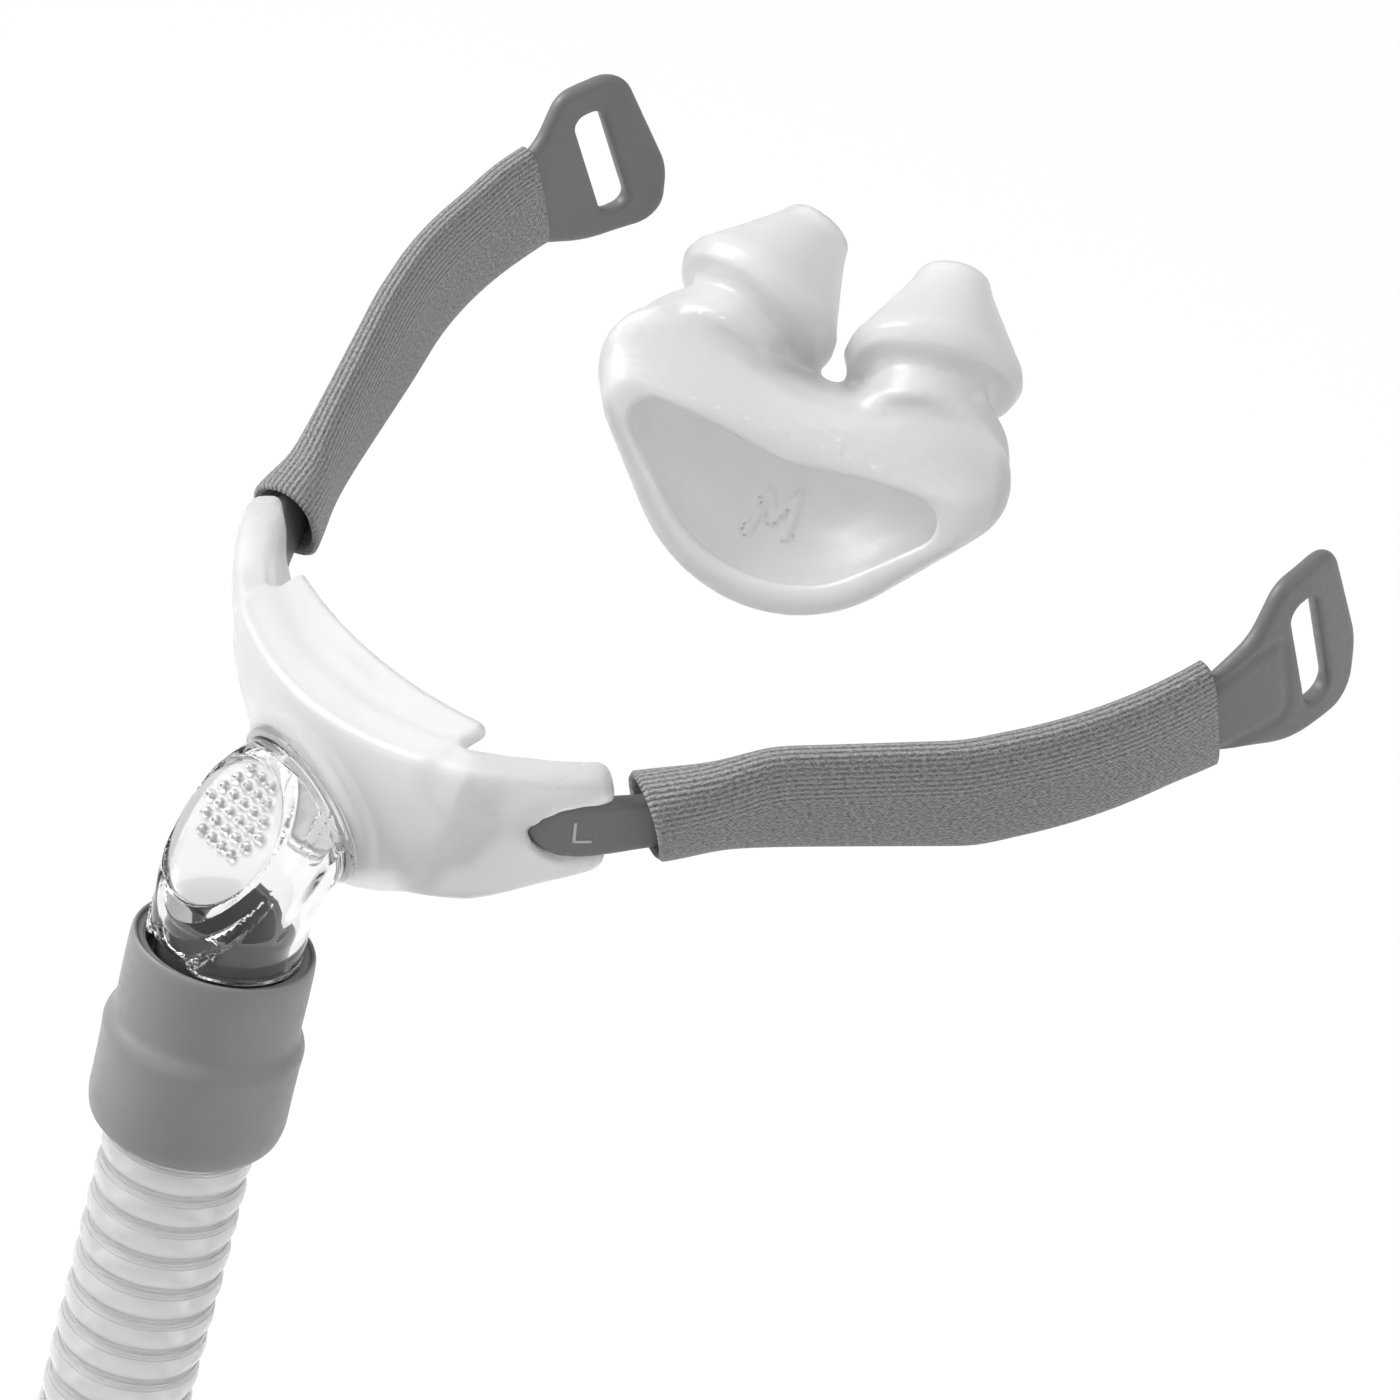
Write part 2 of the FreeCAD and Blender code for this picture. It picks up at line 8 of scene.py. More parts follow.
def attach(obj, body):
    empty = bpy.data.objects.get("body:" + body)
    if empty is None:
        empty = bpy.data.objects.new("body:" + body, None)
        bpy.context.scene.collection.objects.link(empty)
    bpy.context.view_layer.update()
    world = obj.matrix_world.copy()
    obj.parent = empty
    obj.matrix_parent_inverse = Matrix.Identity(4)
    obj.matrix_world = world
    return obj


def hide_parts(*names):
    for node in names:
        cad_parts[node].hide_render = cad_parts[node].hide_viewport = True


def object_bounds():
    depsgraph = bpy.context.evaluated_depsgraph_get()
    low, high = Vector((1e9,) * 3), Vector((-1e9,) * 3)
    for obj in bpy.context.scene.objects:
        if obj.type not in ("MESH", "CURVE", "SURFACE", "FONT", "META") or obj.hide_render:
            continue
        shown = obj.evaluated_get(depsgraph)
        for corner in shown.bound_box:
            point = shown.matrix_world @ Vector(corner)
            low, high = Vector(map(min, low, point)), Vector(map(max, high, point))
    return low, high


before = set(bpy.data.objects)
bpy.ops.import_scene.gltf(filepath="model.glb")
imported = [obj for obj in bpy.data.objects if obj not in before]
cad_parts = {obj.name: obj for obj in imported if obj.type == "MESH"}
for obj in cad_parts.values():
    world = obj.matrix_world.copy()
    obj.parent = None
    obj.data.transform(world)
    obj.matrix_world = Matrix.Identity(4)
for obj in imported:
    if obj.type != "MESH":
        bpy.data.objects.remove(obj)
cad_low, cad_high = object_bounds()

MM = 0.001
X_AXIS = np.array([1.0, 0.0, 0.0])

# Camera, solved from the photograph, in the mask's own frame
PHOTO_PIXELS = 1400
FOCAL_PIXELS = 4800
SENSOR = 36.0
CAMERA_AT = (428.4, -220.4, 438.3)
CAMERA_RIGHT = (0.6157, 0.7804, -0.1097)
CAMERA_UP = (-0.4852, 0.4851, 0.7276)
CAMERA_BACK = (0.6209, -0.3948, 0.6772)

# Elbow, cuff and hose, as in the part's source
CORNER = np.array([0.0, -22.2, -4.5])
ELBOW_TURN = math.radians(64.5)
OUTLET = np.array([0.0, -math.cos(ELBOW_TURN), -math.sin(ELBOW_TURN)])
ELBOW_RADIUS = 10.9
ELBOW_BORE = 8.9
OUTLET_LENGTH = 17.2
COLLAR_Y = -13.02
COLLAR_RADIUS = 12.1
COLLAR_DEPTH = 1.3
SPIGOT_RADIUS = 9.7
SPIGOT_BORE = 8.0
SPIGOT_END_Y = -7.9

# Vent face: its way out of the elbow, the dish in it and the nipples' grid
VENT_DEPTH = 5.2
VENT_RISE = math.radians(54.0)
VENT_OUT = np.array([0.0, -math.cos(VENT_RISE), math.sin(VENT_RISE)])
VENT_UP = np.array([0.0, math.sin(VENT_RISE), math.cos(VENT_RISE)])
VENT_RECESS = 1.0
VENT_FACE = (9.0, 10.6)
VENT_FACE_SHIFT = -0.9
VENT_WALL = 1.8
VENT_PITCH = 2.35
VENT_SHIFT = 1.5
VENT_ROWS = [(-3, 3), (-2, 4), (-1, 5), (0, 6), (1, 5), (2, 4)]
NIPPLE_RADIUS = 0.98
NIPPLE_HEIGHT = 1.05
NIPPLE_BORE = 0.26
NIPPLE_TAPER = 0.35
CUFF_START = 16.6
HOSE_RADIUS = 10.7
HOSE_VALLEY = 9.6
HOSE_WALL = 0.7
HOSE_PITCH = 5.2
# Painted shade lines around the hose, each a place in the pitch and a width
HOSE_SHADE_LINES = [(0.08, 0.035), (0.92, 0.035), (0.22, 0.02)]
HOSE_AROUND = 54
HOSE_ROUTE = [(-35.890, -33.202), (-48.805, -60.280), (-69.122, -99.308), (-87.041, -145.987)]
HOSE_ROUTE += [(-99.647, -198.495), (-105.760, -252.148), (-106.563, -298.141)]
HOSE_END = np.array([0.0, -106.563, -298.141])
HOSE_END_AXIS = np.array([0.0, -0.01745, -0.99985])

# Arms and sleeves, as in the part's source
WRAP_CENTRE_Y = 43.4
WRAP_RADIUS = 52.3
STRIP_RADIUS = 51.0
LINE_ANGLE = math.radians(57.2)
BEND_Y = 56.0
BEND_RADIUS = 62.0
ARM_HALF = 1.3
LOOP_TOP = 16.8
LOOP_BOTTOM = -12.4
LOOP_REAR_Y = 108.4
SAGS = {"left": -2.0, "right": 2.0}
CLOTH = 1.3
MOUTH_GAP = 2.9
MOUTH_Y = 14.0
SLEEVE_ENDS = {"left": 80.5, "right": 86.0}
SLEEVE_NECK = {"left": (9.7, 11.5), "right": (8.0, 9.2)}
MOUTH_SLANT = 1.7
RIB_PITCH = 0.82
RIB_ZONE = 8.2
RIB_FADE = 0.8
KNIT_ROW = 0.42
KNIT_STITCH = 0.5

# Cushion, as in the part's source
CUSHION_AT = np.array([1.6, 72.4, 8.9])
CUSHION_TURNS = (math.radians(36.0), math.radians(-27.5), math.radians(15.5))
CUSHION_WALL = 2.2
CUSHION_DEPTH = 18.0
LIP_SECTIONS = [(0.0, 32.7, 0.0, 39.2, 4.5, 23.7), (4.5, 41.7, 10.0, 40.2, 9.0, 23.7)]
LIP_SECTIONS += [(10.5, 41.7, 13.5, 36.2, 11.0, 21.7), (18.0, 26.7, 7.5, 23.2, 8.0, 10.0)]
LIP_OPENING = 4.6
LIP_CENTRE_Z = -12.0
SADDLE_RISE = 6.2
SADDLE_RADIUS = 22.0
PILLOW_AT = (13.4, 16.0, 12.6)
PILLOW_LEAN = math.radians(11.5)
PILLOW_RISE = math.radians(46.0)


# Meshes

def add_object(name, mesh, material, body, stands_for=()):
    mesh.polygons.foreach_set("use_smooth", [True] * len(mesh.polygons))
    mesh.materials.clear()
    mesh.materials.append(material)
    obj = bpy.data.objects.new(name, mesh)
    bpy.context.scene.collection.objects.link(obj)
    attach(obj, body)
    if stands_for:
        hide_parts(*stands_for)
    return obj


def to_mesh(name, points, faces):
    mesh = bpy.data.meshes.new(name)
    mesh.from_pydata((np.asarray(points) * MM).tolist(), [], np.asarray(faces).tolist())
    mesh.update()
    return mesh


def grid_faces(rows, columns):
    """Quads between rows of points, each row a ring, and the last row next to the first."""
    r, c = np.meshgrid(np.arange(rows), np.arange(columns), indexing="ij")
    r2, c2 = (r + 1) % rows, (c + 1) % columns
    quads = np.stack([r * columns + c, r * columns + c2, r2 * columns + c2, r2 * columns + c], -1)
    return quads.reshape(-1, 4)


def rounded_profile(points, radius, longest=1.0):
    """A closed (radius, along) outline with its corners rounded and its long sides divided."""
    p = np.array(points, float)
    n = len(p)
    out = []
    for i in range(n):
        before, here, after = p[i - 1], p[i], p[(i + 1) % n]
        a, b = before - here, after - here
        la, lb = np.linalg.norm(a), np.linalg.norm(b)
        cut = min(radius, 0.45 * la, 0.45 * lb)
        start, end = here + a / la * cut, here + b / lb * cut
        for t in np.linspace(0, 1, 5):
            out.append((1 - t) ** 2 * start + 2 * t * (1 - t) * here + t * t * end)
    out = np.array(out)
    full = []
    for i in range(len(out)):
        q, r = out[i], out[(i + 1) % len(out)]
        steps = max(1, int(np.linalg.norm(r - q) / longest))
        full += [q + (r - q) * k / steps for k in range(steps)]
    return np.array(full)


def lathe(profile, origin, axis, around=96):
    side = X_AXIS
    up = np.cross(axis, side)
    angle = np.arange(around) * 2 * math.pi / around
    ring = np.cos(angle)[:, None] * side + np.sin(angle)[:, None] * up
    points = origin + profile[:, None, 1:2] * axis + profile[:, None, 0:1] * ring[None]
    return points.reshape(-1, 3), grid_faces(len(profile), around)


# Fields: below zero inside, about a distance in millimetres

def join(a, b, k):
    h = np.maximum(k - np.abs(a - b), 0) / k
    return np.minimum(a, b) - h * h * k / 4


def meet(a, b, k):
    h = np.maximum(k - np.abs(a - b), 0) / k
    return np.maximum(a, b) + h * h * k / 4


def soft_step(t):
    t = np.clip(t, 0, 1)
    return t * t * (3 - 2 * t)


def polygon_field(r, s, profile):
    """Signed distance to a closed outline in the plane."""
    p = np.array(profile, float)
    best = np.full(len(r), 1e9)
    inside = np.zeros(len(r), bool)
    for a, b in zip(p, np.roll(p, -1, axis=0)):
        e = b - a
        wr, ws = r - a[0], s - a[1]
        t = np.clip((wr * e[0] + ws * e[1]) / (e @ e), 0, 1)
        best = np.minimum(best, (wr - e[0] * t) ** 2 + (ws - e[1] * t) ** 2)
        crosses = (a[1] > s) != (b[1] > s)
        with np.errstate(divide="ignore", invalid="ignore"):
            where = (b[0] - a[0]) * (s - a[1]) / (b[1] - a[1]) + a[0]
        inside ^= crosses & (r < where)
    return np.where(inside, -1, 1) * np.sqrt(best)


def slopes(field, p, e=0.02):
    steps = np.eye(3) * e
    return np.stack([field(p + s) - field(p - s) for s in steps], -1) / (2 * e)


def net(field, low, high, step):
    """The surface where the field is zero, as quads whose corners lie on it."""
    axes = [np.arange(a, b + step, step) for a, b in zip(low, high)]
    grid = np.stack(np.meshgrid(*axes, indexing="ij"), -1)
    shape = grid.shape[:3]
    value = field(grid.reshape(-1, 3)).reshape(shape)
    inside = value < 0
    count = np.zeros([n - 1 for n in shape], int)
    for i in (0, 1):
        for j in (0, 1):
            for k in (0, 1):
                count += inside[i:shape[0] - 1 + i, j:shape[1] - 1 + j, k:shape[2] - 1 + k]
    crossed = (count > 0) & (count < 8)
    index = np.full(crossed.shape, -1)
    index[crossed] = np.arange(crossed.sum())
    start = np.array(low) + (np.argwhere(crossed) + 0.5) * step
    points = start.copy()
    for _ in range(4):
        g = slopes(field, points)
        f = field(points)
        points -= g * (f / np.maximum((g * g).sum(1), 0.05))[:, None]
        points = start + np.clip(points - start, -0.8 * step, 0.8 * step)
    quads = []
    for axis in range(3):
        b, c = (axis + 1) % 3, (axis + 2) % 3
        size = [n - 1 for n in shape]
        here = [slice(1, s) for s in size]
        here[axis] = slice(0, size[axis])
        nxt = list(here)
        nxt[axis] = slice(1, size[axis] + 1)
        first, second = inside[tuple(here)], inside[tuple(nxt)]
        where = np.argwhere(first != second)
        flip = first[first != second]
        offset = np.ones(3, int)
        offset[axis] = 0
        cell = where + offset
        eb, ec = np.eye(3, dtype=int)[b], np.eye(3, dtype=int)[c]
        ring = [index[tuple((cell - q).T)] for q in (eb * 0, eb, eb + ec, ec)]
        quad = np.stack(ring, 1)
        quad[~flip] = quad[~flip][:, ::-1]
        quads.append(quad)
    quads = np.concatenate(quads)
    return points, quads[(quads >= 0).all(1)]


# Materials

def material(name):
    mat = bpy.data.materials.new(name)
    mat.use_nodes = True
    nodes, links = mat.node_tree.nodes, mat.node_tree.links
    shader = nodes["Principled BSDF"]
    return mat, nodes, links, shader


def noise(nodes, scale, detail=3.0, roughness=0.5):
    place = nodes.new("ShaderNodeTexCoord")
    tex = nodes.new("ShaderNodeTexNoise")
    tex.inputs["Scale"].default_value = scale
    tex.inputs["Detail"].default_value = detail
    tex.inputs["Roughness"].default_value = roughness
    nodes.id_data.links.new(place.outputs["Object"], tex.inputs["Vector"])
    return tex


def math_node(nodes, kind, a, b=None, c=None):
    node = nodes.new("ShaderNodeMath")
    node.operation = kind
    for socket, value in zip(node.inputs, (a, b, c)):
        if value is None:
            continue
        if isinstance(value, (int, float)):
            socket.default_value = value
        else:
            nodes.id_data.links.new(value, socket)
    return node.outputs[0]


def ramp(nodes, value, low, high, out_low, out_high):
    node = nodes.new("ShaderNodeMapRange")
    node.interpolation_type = "SMOOTHSTEP"
    nodes.id_data.links.new(value, node.inputs["Value"])
    for key, number in (("From Min", low), ("From Max", high), ("To Min", out_low), ("To Max", out_high)):
        node.inputs[key].default_value = number
    return node.outputs[0]


def bump(nodes, height, distance, strength=1.0):
    node = nodes.new("ShaderNodeBump")
    node.inputs["Distance"].default_value = distance
    node.inputs["Strength"].default_value = strength
    nodes.id_data.links.new(height, node.inputs["Height"])
    return node.outputs["Normal"]


def mottled(nodes, dark, light, value):
    node = nodes.new("ShaderNodeValToRGB")
    node.color_ramp.elements[0].position = 0.3
    node.color_ramp.elements[1].position = 0.7
    node.color_ramp.elements[0].color = (dark, dark, dark, 1)
    node.color_ramp.elements[1].color = (light, light, light, 1)
    nodes.id_data.links.new(value, node.inputs["Fac"])
    return node.outputs["Color"]


def clear_material(name, roughness, grey, ripple):
    mat, nodes, links, shader = material(name)
    shader.inputs["Base Color"].default_value = (grey, grey, grey, 1)
    shader.inputs["Transmission Weight"].default_value = 1.0
    shader.inputs["IOR"].default_value = 1.42
    fine = noise(nodes, 160.0)
    rough = ramp(nodes, fine.outputs["Fac"], 0.3, 0.7, roughness * 0.7, roughness * 1.4)
    links.new(rough, shader.inputs["Roughness"])
    links.new(bump(nodes, noise(nodes, 60.0, 1.0).outputs["Fac"], ripple), shader.inputs["Normal"])
    return mat


def elbow_material(name):
    """Clear moulding, frosted over the flat vent face."""
    mat = clear_material(name, 0.03, 0.985, 0.00004)
    nodes, links = mat.node_tree.nodes, mat.node_tree.links
    glass = nodes["Principled BSDF"]
    matt = nodes.new("ShaderNodeBsdfPrincipled")
    matt.inputs["Base Color"].default_value = (0.72, 0.72, 0.72, 1)
    matt.inputs["Roughness"].default_value = 0.6
    matt.inputs["Transmission Weight"].default_value = 0.35
    matt.inputs["IOR"].default_value = 1.4
    place = nodes.new("ShaderNodeTexCoord")
    dot = nodes.new("ShaderNodeVectorMath")
    dot.operation = "DOT_PRODUCT"
    dot.inputs[1].default_value = tuple(VENT_OUT)
    links.new(place.outputs["Object"], dot.inputs[0])
    face = float(CORNER @ VENT_OUT) + VENT_DEPTH - VENT_RECESS
    share = ramp(nodes, dot.outputs["Value"], (face - 0.3) * MM, (face - 0.08) * MM, 0.0, 0.85)
    tips = ramp(nodes, dot.outputs["Value"], (face + 0.1) * MM, (face + 0.45) * MM, 1.0, 0.5)
    share = math_node(nodes, "MULTIPLY", share, tips)
    rise = nodes.new("ShaderNodeVectorMath")
    rise.operation = "DOT_PRODUCT"
    rise.inputs[1].default_value = tuple(VENT_UP)
    links.new(place.outputs["Object"], rise.inputs[0])
    middle = (float(CORNER @ VENT_UP) + VENT_FACE_SHIFT) * MM
    split = nodes.new("ShaderNodeSeparateXYZ")
    links.new(place.outputs["Object"], split.inputs[0])
    across = math_node(nodes, "DIVIDE", split.outputs["X"], VENT_FACE[0] * MM)
    up = math_node(nodes, "SUBTRACT", rise.outputs["Value"], middle)
    up = math_node(nodes, "DIVIDE", up, VENT_FACE[1] * MM)
    squares = math_node(nodes, "MULTIPLY_ADD", across, across, math_node(nodes, "MULTIPLY", up, up))
    reach = math_node(nodes, "SQRT", squares)
    share = math_node(nodes, "MULTIPLY", share, ramp(nodes, reach, 0.97, 1.01, 1.0, 0.0))
    mix = nodes.new("ShaderNodeMixShader")
    links.new(share, mix.inputs["Fac"])
    links.new(glass.outputs[0], mix.inputs[1])
    links.new(matt.outputs[0], mix.inputs[2])
    links.new(mix.outputs[0], nodes["Material Output"].inputs["Surface"])
    return mat


def hose_material(name):
    """Milky clear tube with painted shade: a pair of fine dark lines beside each valley and one more on
    its flank.
    """
    mat = frosted_material(name, 0.97, 0.7, 0.16)
    nodes, links = mat.node_tree.nodes, mat.node_tree.links
    shader = nodes["Principled BSDF"]
    place = nodes.new("ShaderNodeUVMap")
    place.uv_map = "run"
    split = nodes.new("ShaderNodeSeparateXYZ")
    links.new(place.outputs["UV"], split.inputs[0])
    phase = math_node(nodes, "FRACT", math_node(nodes, "DIVIDE", split.outputs["X"], HOSE_PITCH))
    # Painted shade: the colour darkens along these rings beside each valley and on its flank, which also
    # bump a little
    shade_lines = None
    for at, wide in HOSE_SHADE_LINES:
        off = math_node(nodes, "ABSOLUTE", math_node(nodes, "SUBTRACT", phase, at))
        line = ramp(nodes, off, 0.0, wide, 1.0, 0.0)
        shade_lines = line if shade_lines is None else math_node(nodes, "MAXIMUM", shade_lines, line)
    tone = nodes.new("ShaderNodeMix")
    tone.data_type = "RGBA"
    links.new(math_node(nodes, "MULTIPLY", shade_lines, 0.3), tone.inputs["Factor"])
    tone.inputs["A"].default_value = (0.97, 0.97, 0.97, 1)
    tone.inputs["B"].default_value = (0.45, 0.45, 0.45, 1)
    links.new(tone.outputs["Result"], shader.inputs["Base Color"])
    links.new(bump(nodes, shade_lines, 0.0002), shader.inputs["Normal"])
    return mat


def frosted_material(name, grey, transmission, roughness, clear_from=None):
    mat, nodes, links, shader = material(name)
    cloud = noise(nodes, 45.0, 4.0)
    links.new(mottled(nodes, grey * 0.97, grey, cloud.outputs["Fac"]), shader.inputs["Base Color"])
    shader.inputs["IOR"].default_value = 1.45
    shader.inputs["Transmission Weight"].default_value = transmission
    shader.inputs["Subsurface Weight"].default_value = 0.4
    shader.inputs["Subsurface Radius"].default_value = (1.0, 1.0, 1.0)
    shader.inputs["Subsurface Scale"].default_value = 3.0 * MM
    rough = ramp(nodes, noise(nodes, 300.0).outputs["Fac"], 0.3, 0.7, roughness * 0.9, roughness * 1.1)
    if clear_from:
        place = nodes.new("ShaderNodeTexCoord")
        split = nodes.new("ShaderNodeSeparateXYZ")
        links.new(place.outputs["Object"], split.inputs[0])
        side = math_node(nodes, "ABSOLUTE", split.outputs["X"])
        share = ramp(nodes, side, clear_from * MM, (clear_from + 4.0) * MM, 1.0, 0.35)
        rough = math_node(nodes, "MULTIPLY", rough, share)
    links.new(rough, shader.inputs["Roughness"])
    links.new(bump(nodes, noise(nodes, 900.0).outputs["Fac"], 0.00003), shader.inputs["Normal"])
    return mat


def rubber_material(name, grey, roughness, grain, depth):
    mat, nodes, links, shader = material(name)
    cloud = noise(nodes, 70.0, 4.0)
    links.new(mottled(nodes, grey * 0.94, grey * 1.05, cloud.outputs["Fac"]), shader.inputs["Base Color"])
    fine = noise(nodes, grain, 2.0)
    rough = ramp(nodes, fine.outputs["Fac"], 0.3, 0.7, roughness - 0.06, roughness + 0.06)
    links.new(rough, shader.inputs["Roughness"])
    links.new(bump(nodes, fine.outputs["Fac"], depth), shader.inputs["Normal"])
    return mat


def knit_material(name):
    """Fine ribs near the top edge and a flecked knit below, on a map in millimetres, with painted shade
    darkening the grooves.
    """
    mat, nodes, links, shader = material(name)
    place = nodes.new("ShaderNodeUVMap")
    place.uv_map = "girth"
    split = nodes.new("ShaderNodeSeparateXYZ")
    links.new(place.outputs["UV"], split.inputs[0])
    along, girth = split.outputs["X"], split.outputs["Y"]
    turn = 2 * math.pi
    off_edge = math_node(nodes, "ABSOLUTE", girth)
    in_zone = ramp(nodes, off_edge, RIB_ZONE - RIB_FADE, RIB_ZONE + RIB_FADE, 1.0, 0.0)
    rib = math_node(nodes, "COSINE", math_node(nodes, "MULTIPLY", girth, turn / RIB_PITCH))
    row = math_node(nodes, "COSINE", math_node(nodes, "MULTIPLY", girth, turn / KNIT_ROW))
    runs = math_node(nodes, "MULTIPLY", along, turn / KNIT_STITCH)
    lean = math_node(nodes, "MULTIPLY_ADD", girth, turn / (2 * KNIT_ROW), runs)
    stitch = math_node(nodes, "SINE", lean)
    rib_part = math_node(nodes, "MULTIPLY_ADD", stitch, 0.3, rib)
    plain_part = math_node(nodes, "MULTIPLY_ADD", row, 0.5, stitch)
    plain_part = math_node(nodes, "MULTIPLY", plain_part, 0.45)
    mix = nodes.new("ShaderNodeMix")
    links.new(in_zone, mix.inputs["Factor"])
    links.new(plain_part, mix.inputs["A"])
    links.new(rib_part, mix.inputs["B"])
    height = mix.outputs["Result"]
    stretch = nodes.new("ShaderNodeMapping")
    stretch.inputs["Scale"].default_value = (1.6, 3.2, 1.0)
    links.new(place.outputs["UV"], stretch.inputs["Vector"])
    fleck = nodes.new("ShaderNodeTexNoise")
    fleck.inputs["Scale"].default_value = 1.0
    fleck.inputs["Detail"].default_value = 2.0
    links.new(stretch.outputs["Vector"], fleck.inputs["Vector"])
    # Painted shade: the rib and stitch grooves are darker in colour, added to the knit's own flecks
    tone = math_node(nodes, "MULTIPLY_ADD", height, 0.10, fleck.outputs["Fac"])
    links.new(mottled(nodes, 0.12, 0.37, tone), shader.inputs["Base Color"])
    shader.inputs["Roughness"].default_value = 0.9
    shader.inputs["Sheen Weight"].default_value = 0.25
    shader.inputs["Sheen Roughness"].default_value = 0.5
    fuzz = math_node(nodes, "MULTIPLY_ADD", fleck.outputs["Fac"], 0.8, height)
    links.new(bump(nodes, fuzz, 0.00012), shader.inputs["Normal"])
    return mat


frosted = frosted_material("frosted_shell", 0.89, 0.5, 0.36, clear_from=35.0)
silicone = frosted_material("silicone_skin", 0.91, 0.5, 0.32)
clear = elbow_material("clear_polycarbonate")
hose_clear = hose_material("clear_hose")
cuff_rubber = rubber_material("cuff_rubber", 0.235, 0.44, 700.0, 0.00002)
dark_plastic = rubber_material("dark_plastic", 0.06, 0.35, 300.0, 0.00002)
arm_plastic = rubber_material("arm_plastic", 0.15, 0.46, 1200.0, 0.00002)
mark_paint = rubber_material("mark_paint", 0.5, 0.5, 900.0, 0.00001)
knit = knit_material("knit_cloth")


# Frame and arms

CORNER_STEPS = 8


def arc_through(a, m, b, steps=40):
    """Points on the circle through three points, in the plane."""
    (ax, ay), (mx, my), (bx, by) = a, m, b
    d = 2 * (ax * (my - by) + mx * (by - ay) + bx * (ay - my))
    a2, m2, b2 = ax**2 + ay**2, mx**2 + my**2, bx**2 + by**2
    ux = (a2 * (my - by) + m2 * (by - ay) + b2 * (ay - my)) / d
    uy = (a2 * (bx - mx) + m2 * (ax - bx) + b2 * (mx - ax)) / d
    r = math.hypot(ax - ux, ay - uy)
    t0, t1 = math.atan2(ay - uy, ax - ux), math.atan2(by - uy, bx - ux)
    tm = math.atan2(my - uy, mx - ux)
    sweep = (t1 - t0) % (2 * math.pi)
    if (tm - t0) % (2 * math.pi) > sweep:
        sweep -= 2 * math.pi
    t = t0 + sweep * np.linspace(0, 1, steps)
    return np.stack([ux + r * np.cos(t), uy + r * np.sin(t)], -1)


def d_outline(width, top, bottom, corner):
    half, low = width / 2, top - corner
    k = corner * (1 - math.sqrt(0.5))
    wire = [arc_through((half - corner, top), (half - k, top - k), (half, low), 8)]
    wire.append(arc_through((half, low), (0, bottom), (-half, low), 60))
    wire.append(arc_through((-half, low), (-half + k, top - k), (-half + corner, top), 8))
    return np.concatenate(wire)


def rounded_outline(points, radii, steps=CORNER_STEPS):
    """A closed outline in the plane with its own radius at each corner."""
    p = np.array(points, float)
    out = []
    for i in range(len(p)):
        here = p[i]
        a, b = p[i - 1] - here, p[(i + 1) % len(p)] - here
        a, b = a / np.linalg.norm(a), b / np.linalg.norm(b)
        half = math.acos(np.clip(a @ b, -1, 1)) / 2
        cut = radii[i] / math.tan(half)
        inward = (a + b) / np.linalg.norm(a + b)
        middle = here + inward * (radii[i] / math.sin(half) - radii[i])
        out.append(arc_through(here + a * cut, middle, here + b * cut, steps))
    return np.concatenate(out)


def lookup(wire, margin=8.0, cell=0.3):
    """The signed distance to an outline, read from a grid that is filled once."""
    low, high = wire.min(0) - margin, wire.max(0) + margin
    u = np.arange(low[0], high[0], cell)
    v = np.arange(low[1], high[1], cell)
    uu, vv = np.meshgrid(u, v, indexing="ij")
    table = polygon_field(uu.ravel(), vv.ravel(), wire).reshape(uu.shape)

    def read(a, b):
        x = np.clip((a - low[0]) / cell, 0, len(u) - 1.001)
        y = np.clip((b - low[1]) / cell, 0, len(v) - 1.001)
        i, j = x.astype(int), y.astype(int)
        fx, fy = x - i, y - j
        near = table[i, j] * (1 - fy) + table[i, j + 1] * fy
        far = table[i + 1, j] * (1 - fy) + table[i + 1, j + 1] * fy
        return near * (1 - fx) + far * fx

    return read


def plan_distance(x, y):
    """How far outside the strip's middle line a point is, in plan."""
    x = np.abs(x)
    out = np.array([math.sin(LINE_ANGLE), -math.cos(LINE_ANGLE)])
    way = np.array([math.cos(LINE_ANGLE), math.sin(LINE_ANGLE)])
    first = np.array([0, WRAP_CENTRE_Y]) + out * STRIP_RADIUS
    run = (BEND_Y - first[1]) / way[1]
    bend_centre = first + way * run - out * BEND_RADIUS
    along = (x - first[0]) * way[0] + (y - first[1]) * way[1]
    straight = (x - first[0]) * out[0] + (y - first[1]) * out[1]
    wrap = np.hypot(x, y - WRAP_CENTRE_Y) - STRIP_RADIUS
    rear = np.hypot(x - bend_centre[0], y - bend_centre[1]) - BEND_RADIUS
    return np.where(along < 0, wrap, np.where(along < run, straight, rear))


ARM_HEAD = [(12.0, -2.1), (9.0, -2.6), (6.4, -2.95), (4.6, -2.8), (3.3, -1.9), (2.6, -0.5), (2.4, 1.3)]
ARM_HEAD += [(2.75, 3.4), (3.7, 5.1), (5.2, 6.4), (7.2, 7.1), (9.6, 7.2), (12.0, 7.0)]


def arm_outline(sag):
    """The arm from the side; its head takes the place of the first two corners."""
    points = [ARM_HEAD[0], ARM_HEAD[-1], (22, 6.4), (46, 4.8 + sag), (74, 5.0)]
    points += [(88, LOOP_TOP - 6.2), (93, LOOP_TOP)]
    radii = [0.1, 0.1, 60, 60, 30, 8, 5]
    points += [(103.8, LOOP_TOP), (LOOP_REAR_Y, -3), (LOOP_REAR_Y - 2, LOOP_BOTTOM)]
    points += [(93, LOOP_BOTTOM + 1.6)]
    radii += [5, 12, 5, 20]
    points += [(80, -4.2), (46, -3.2 + sag), (20, -1.6)]
    radii += [30, 60, 60]
    outline = rounded_outline(points, radii)
    return np.concatenate([ARM_HEAD, outline[2 * CORNER_STEPS:]])


SLOT_OUTLINE = [(94.2, 11.6), (99.2, 11.6), (101.6, -7.0), (96.6, -7.0)]
PANEL_OUTLINE = [(62.0, -3.6), (62.0, 4.6), (72.0, 4.6), (88.0, 8.0), (92.6, 8.0), (93.2, -5.8)]
PANEL_OUTLINE += [(72.0, -3.6)]
PANEL_RADII = [1, 1, 4, 4, 2, 2.6, 4]


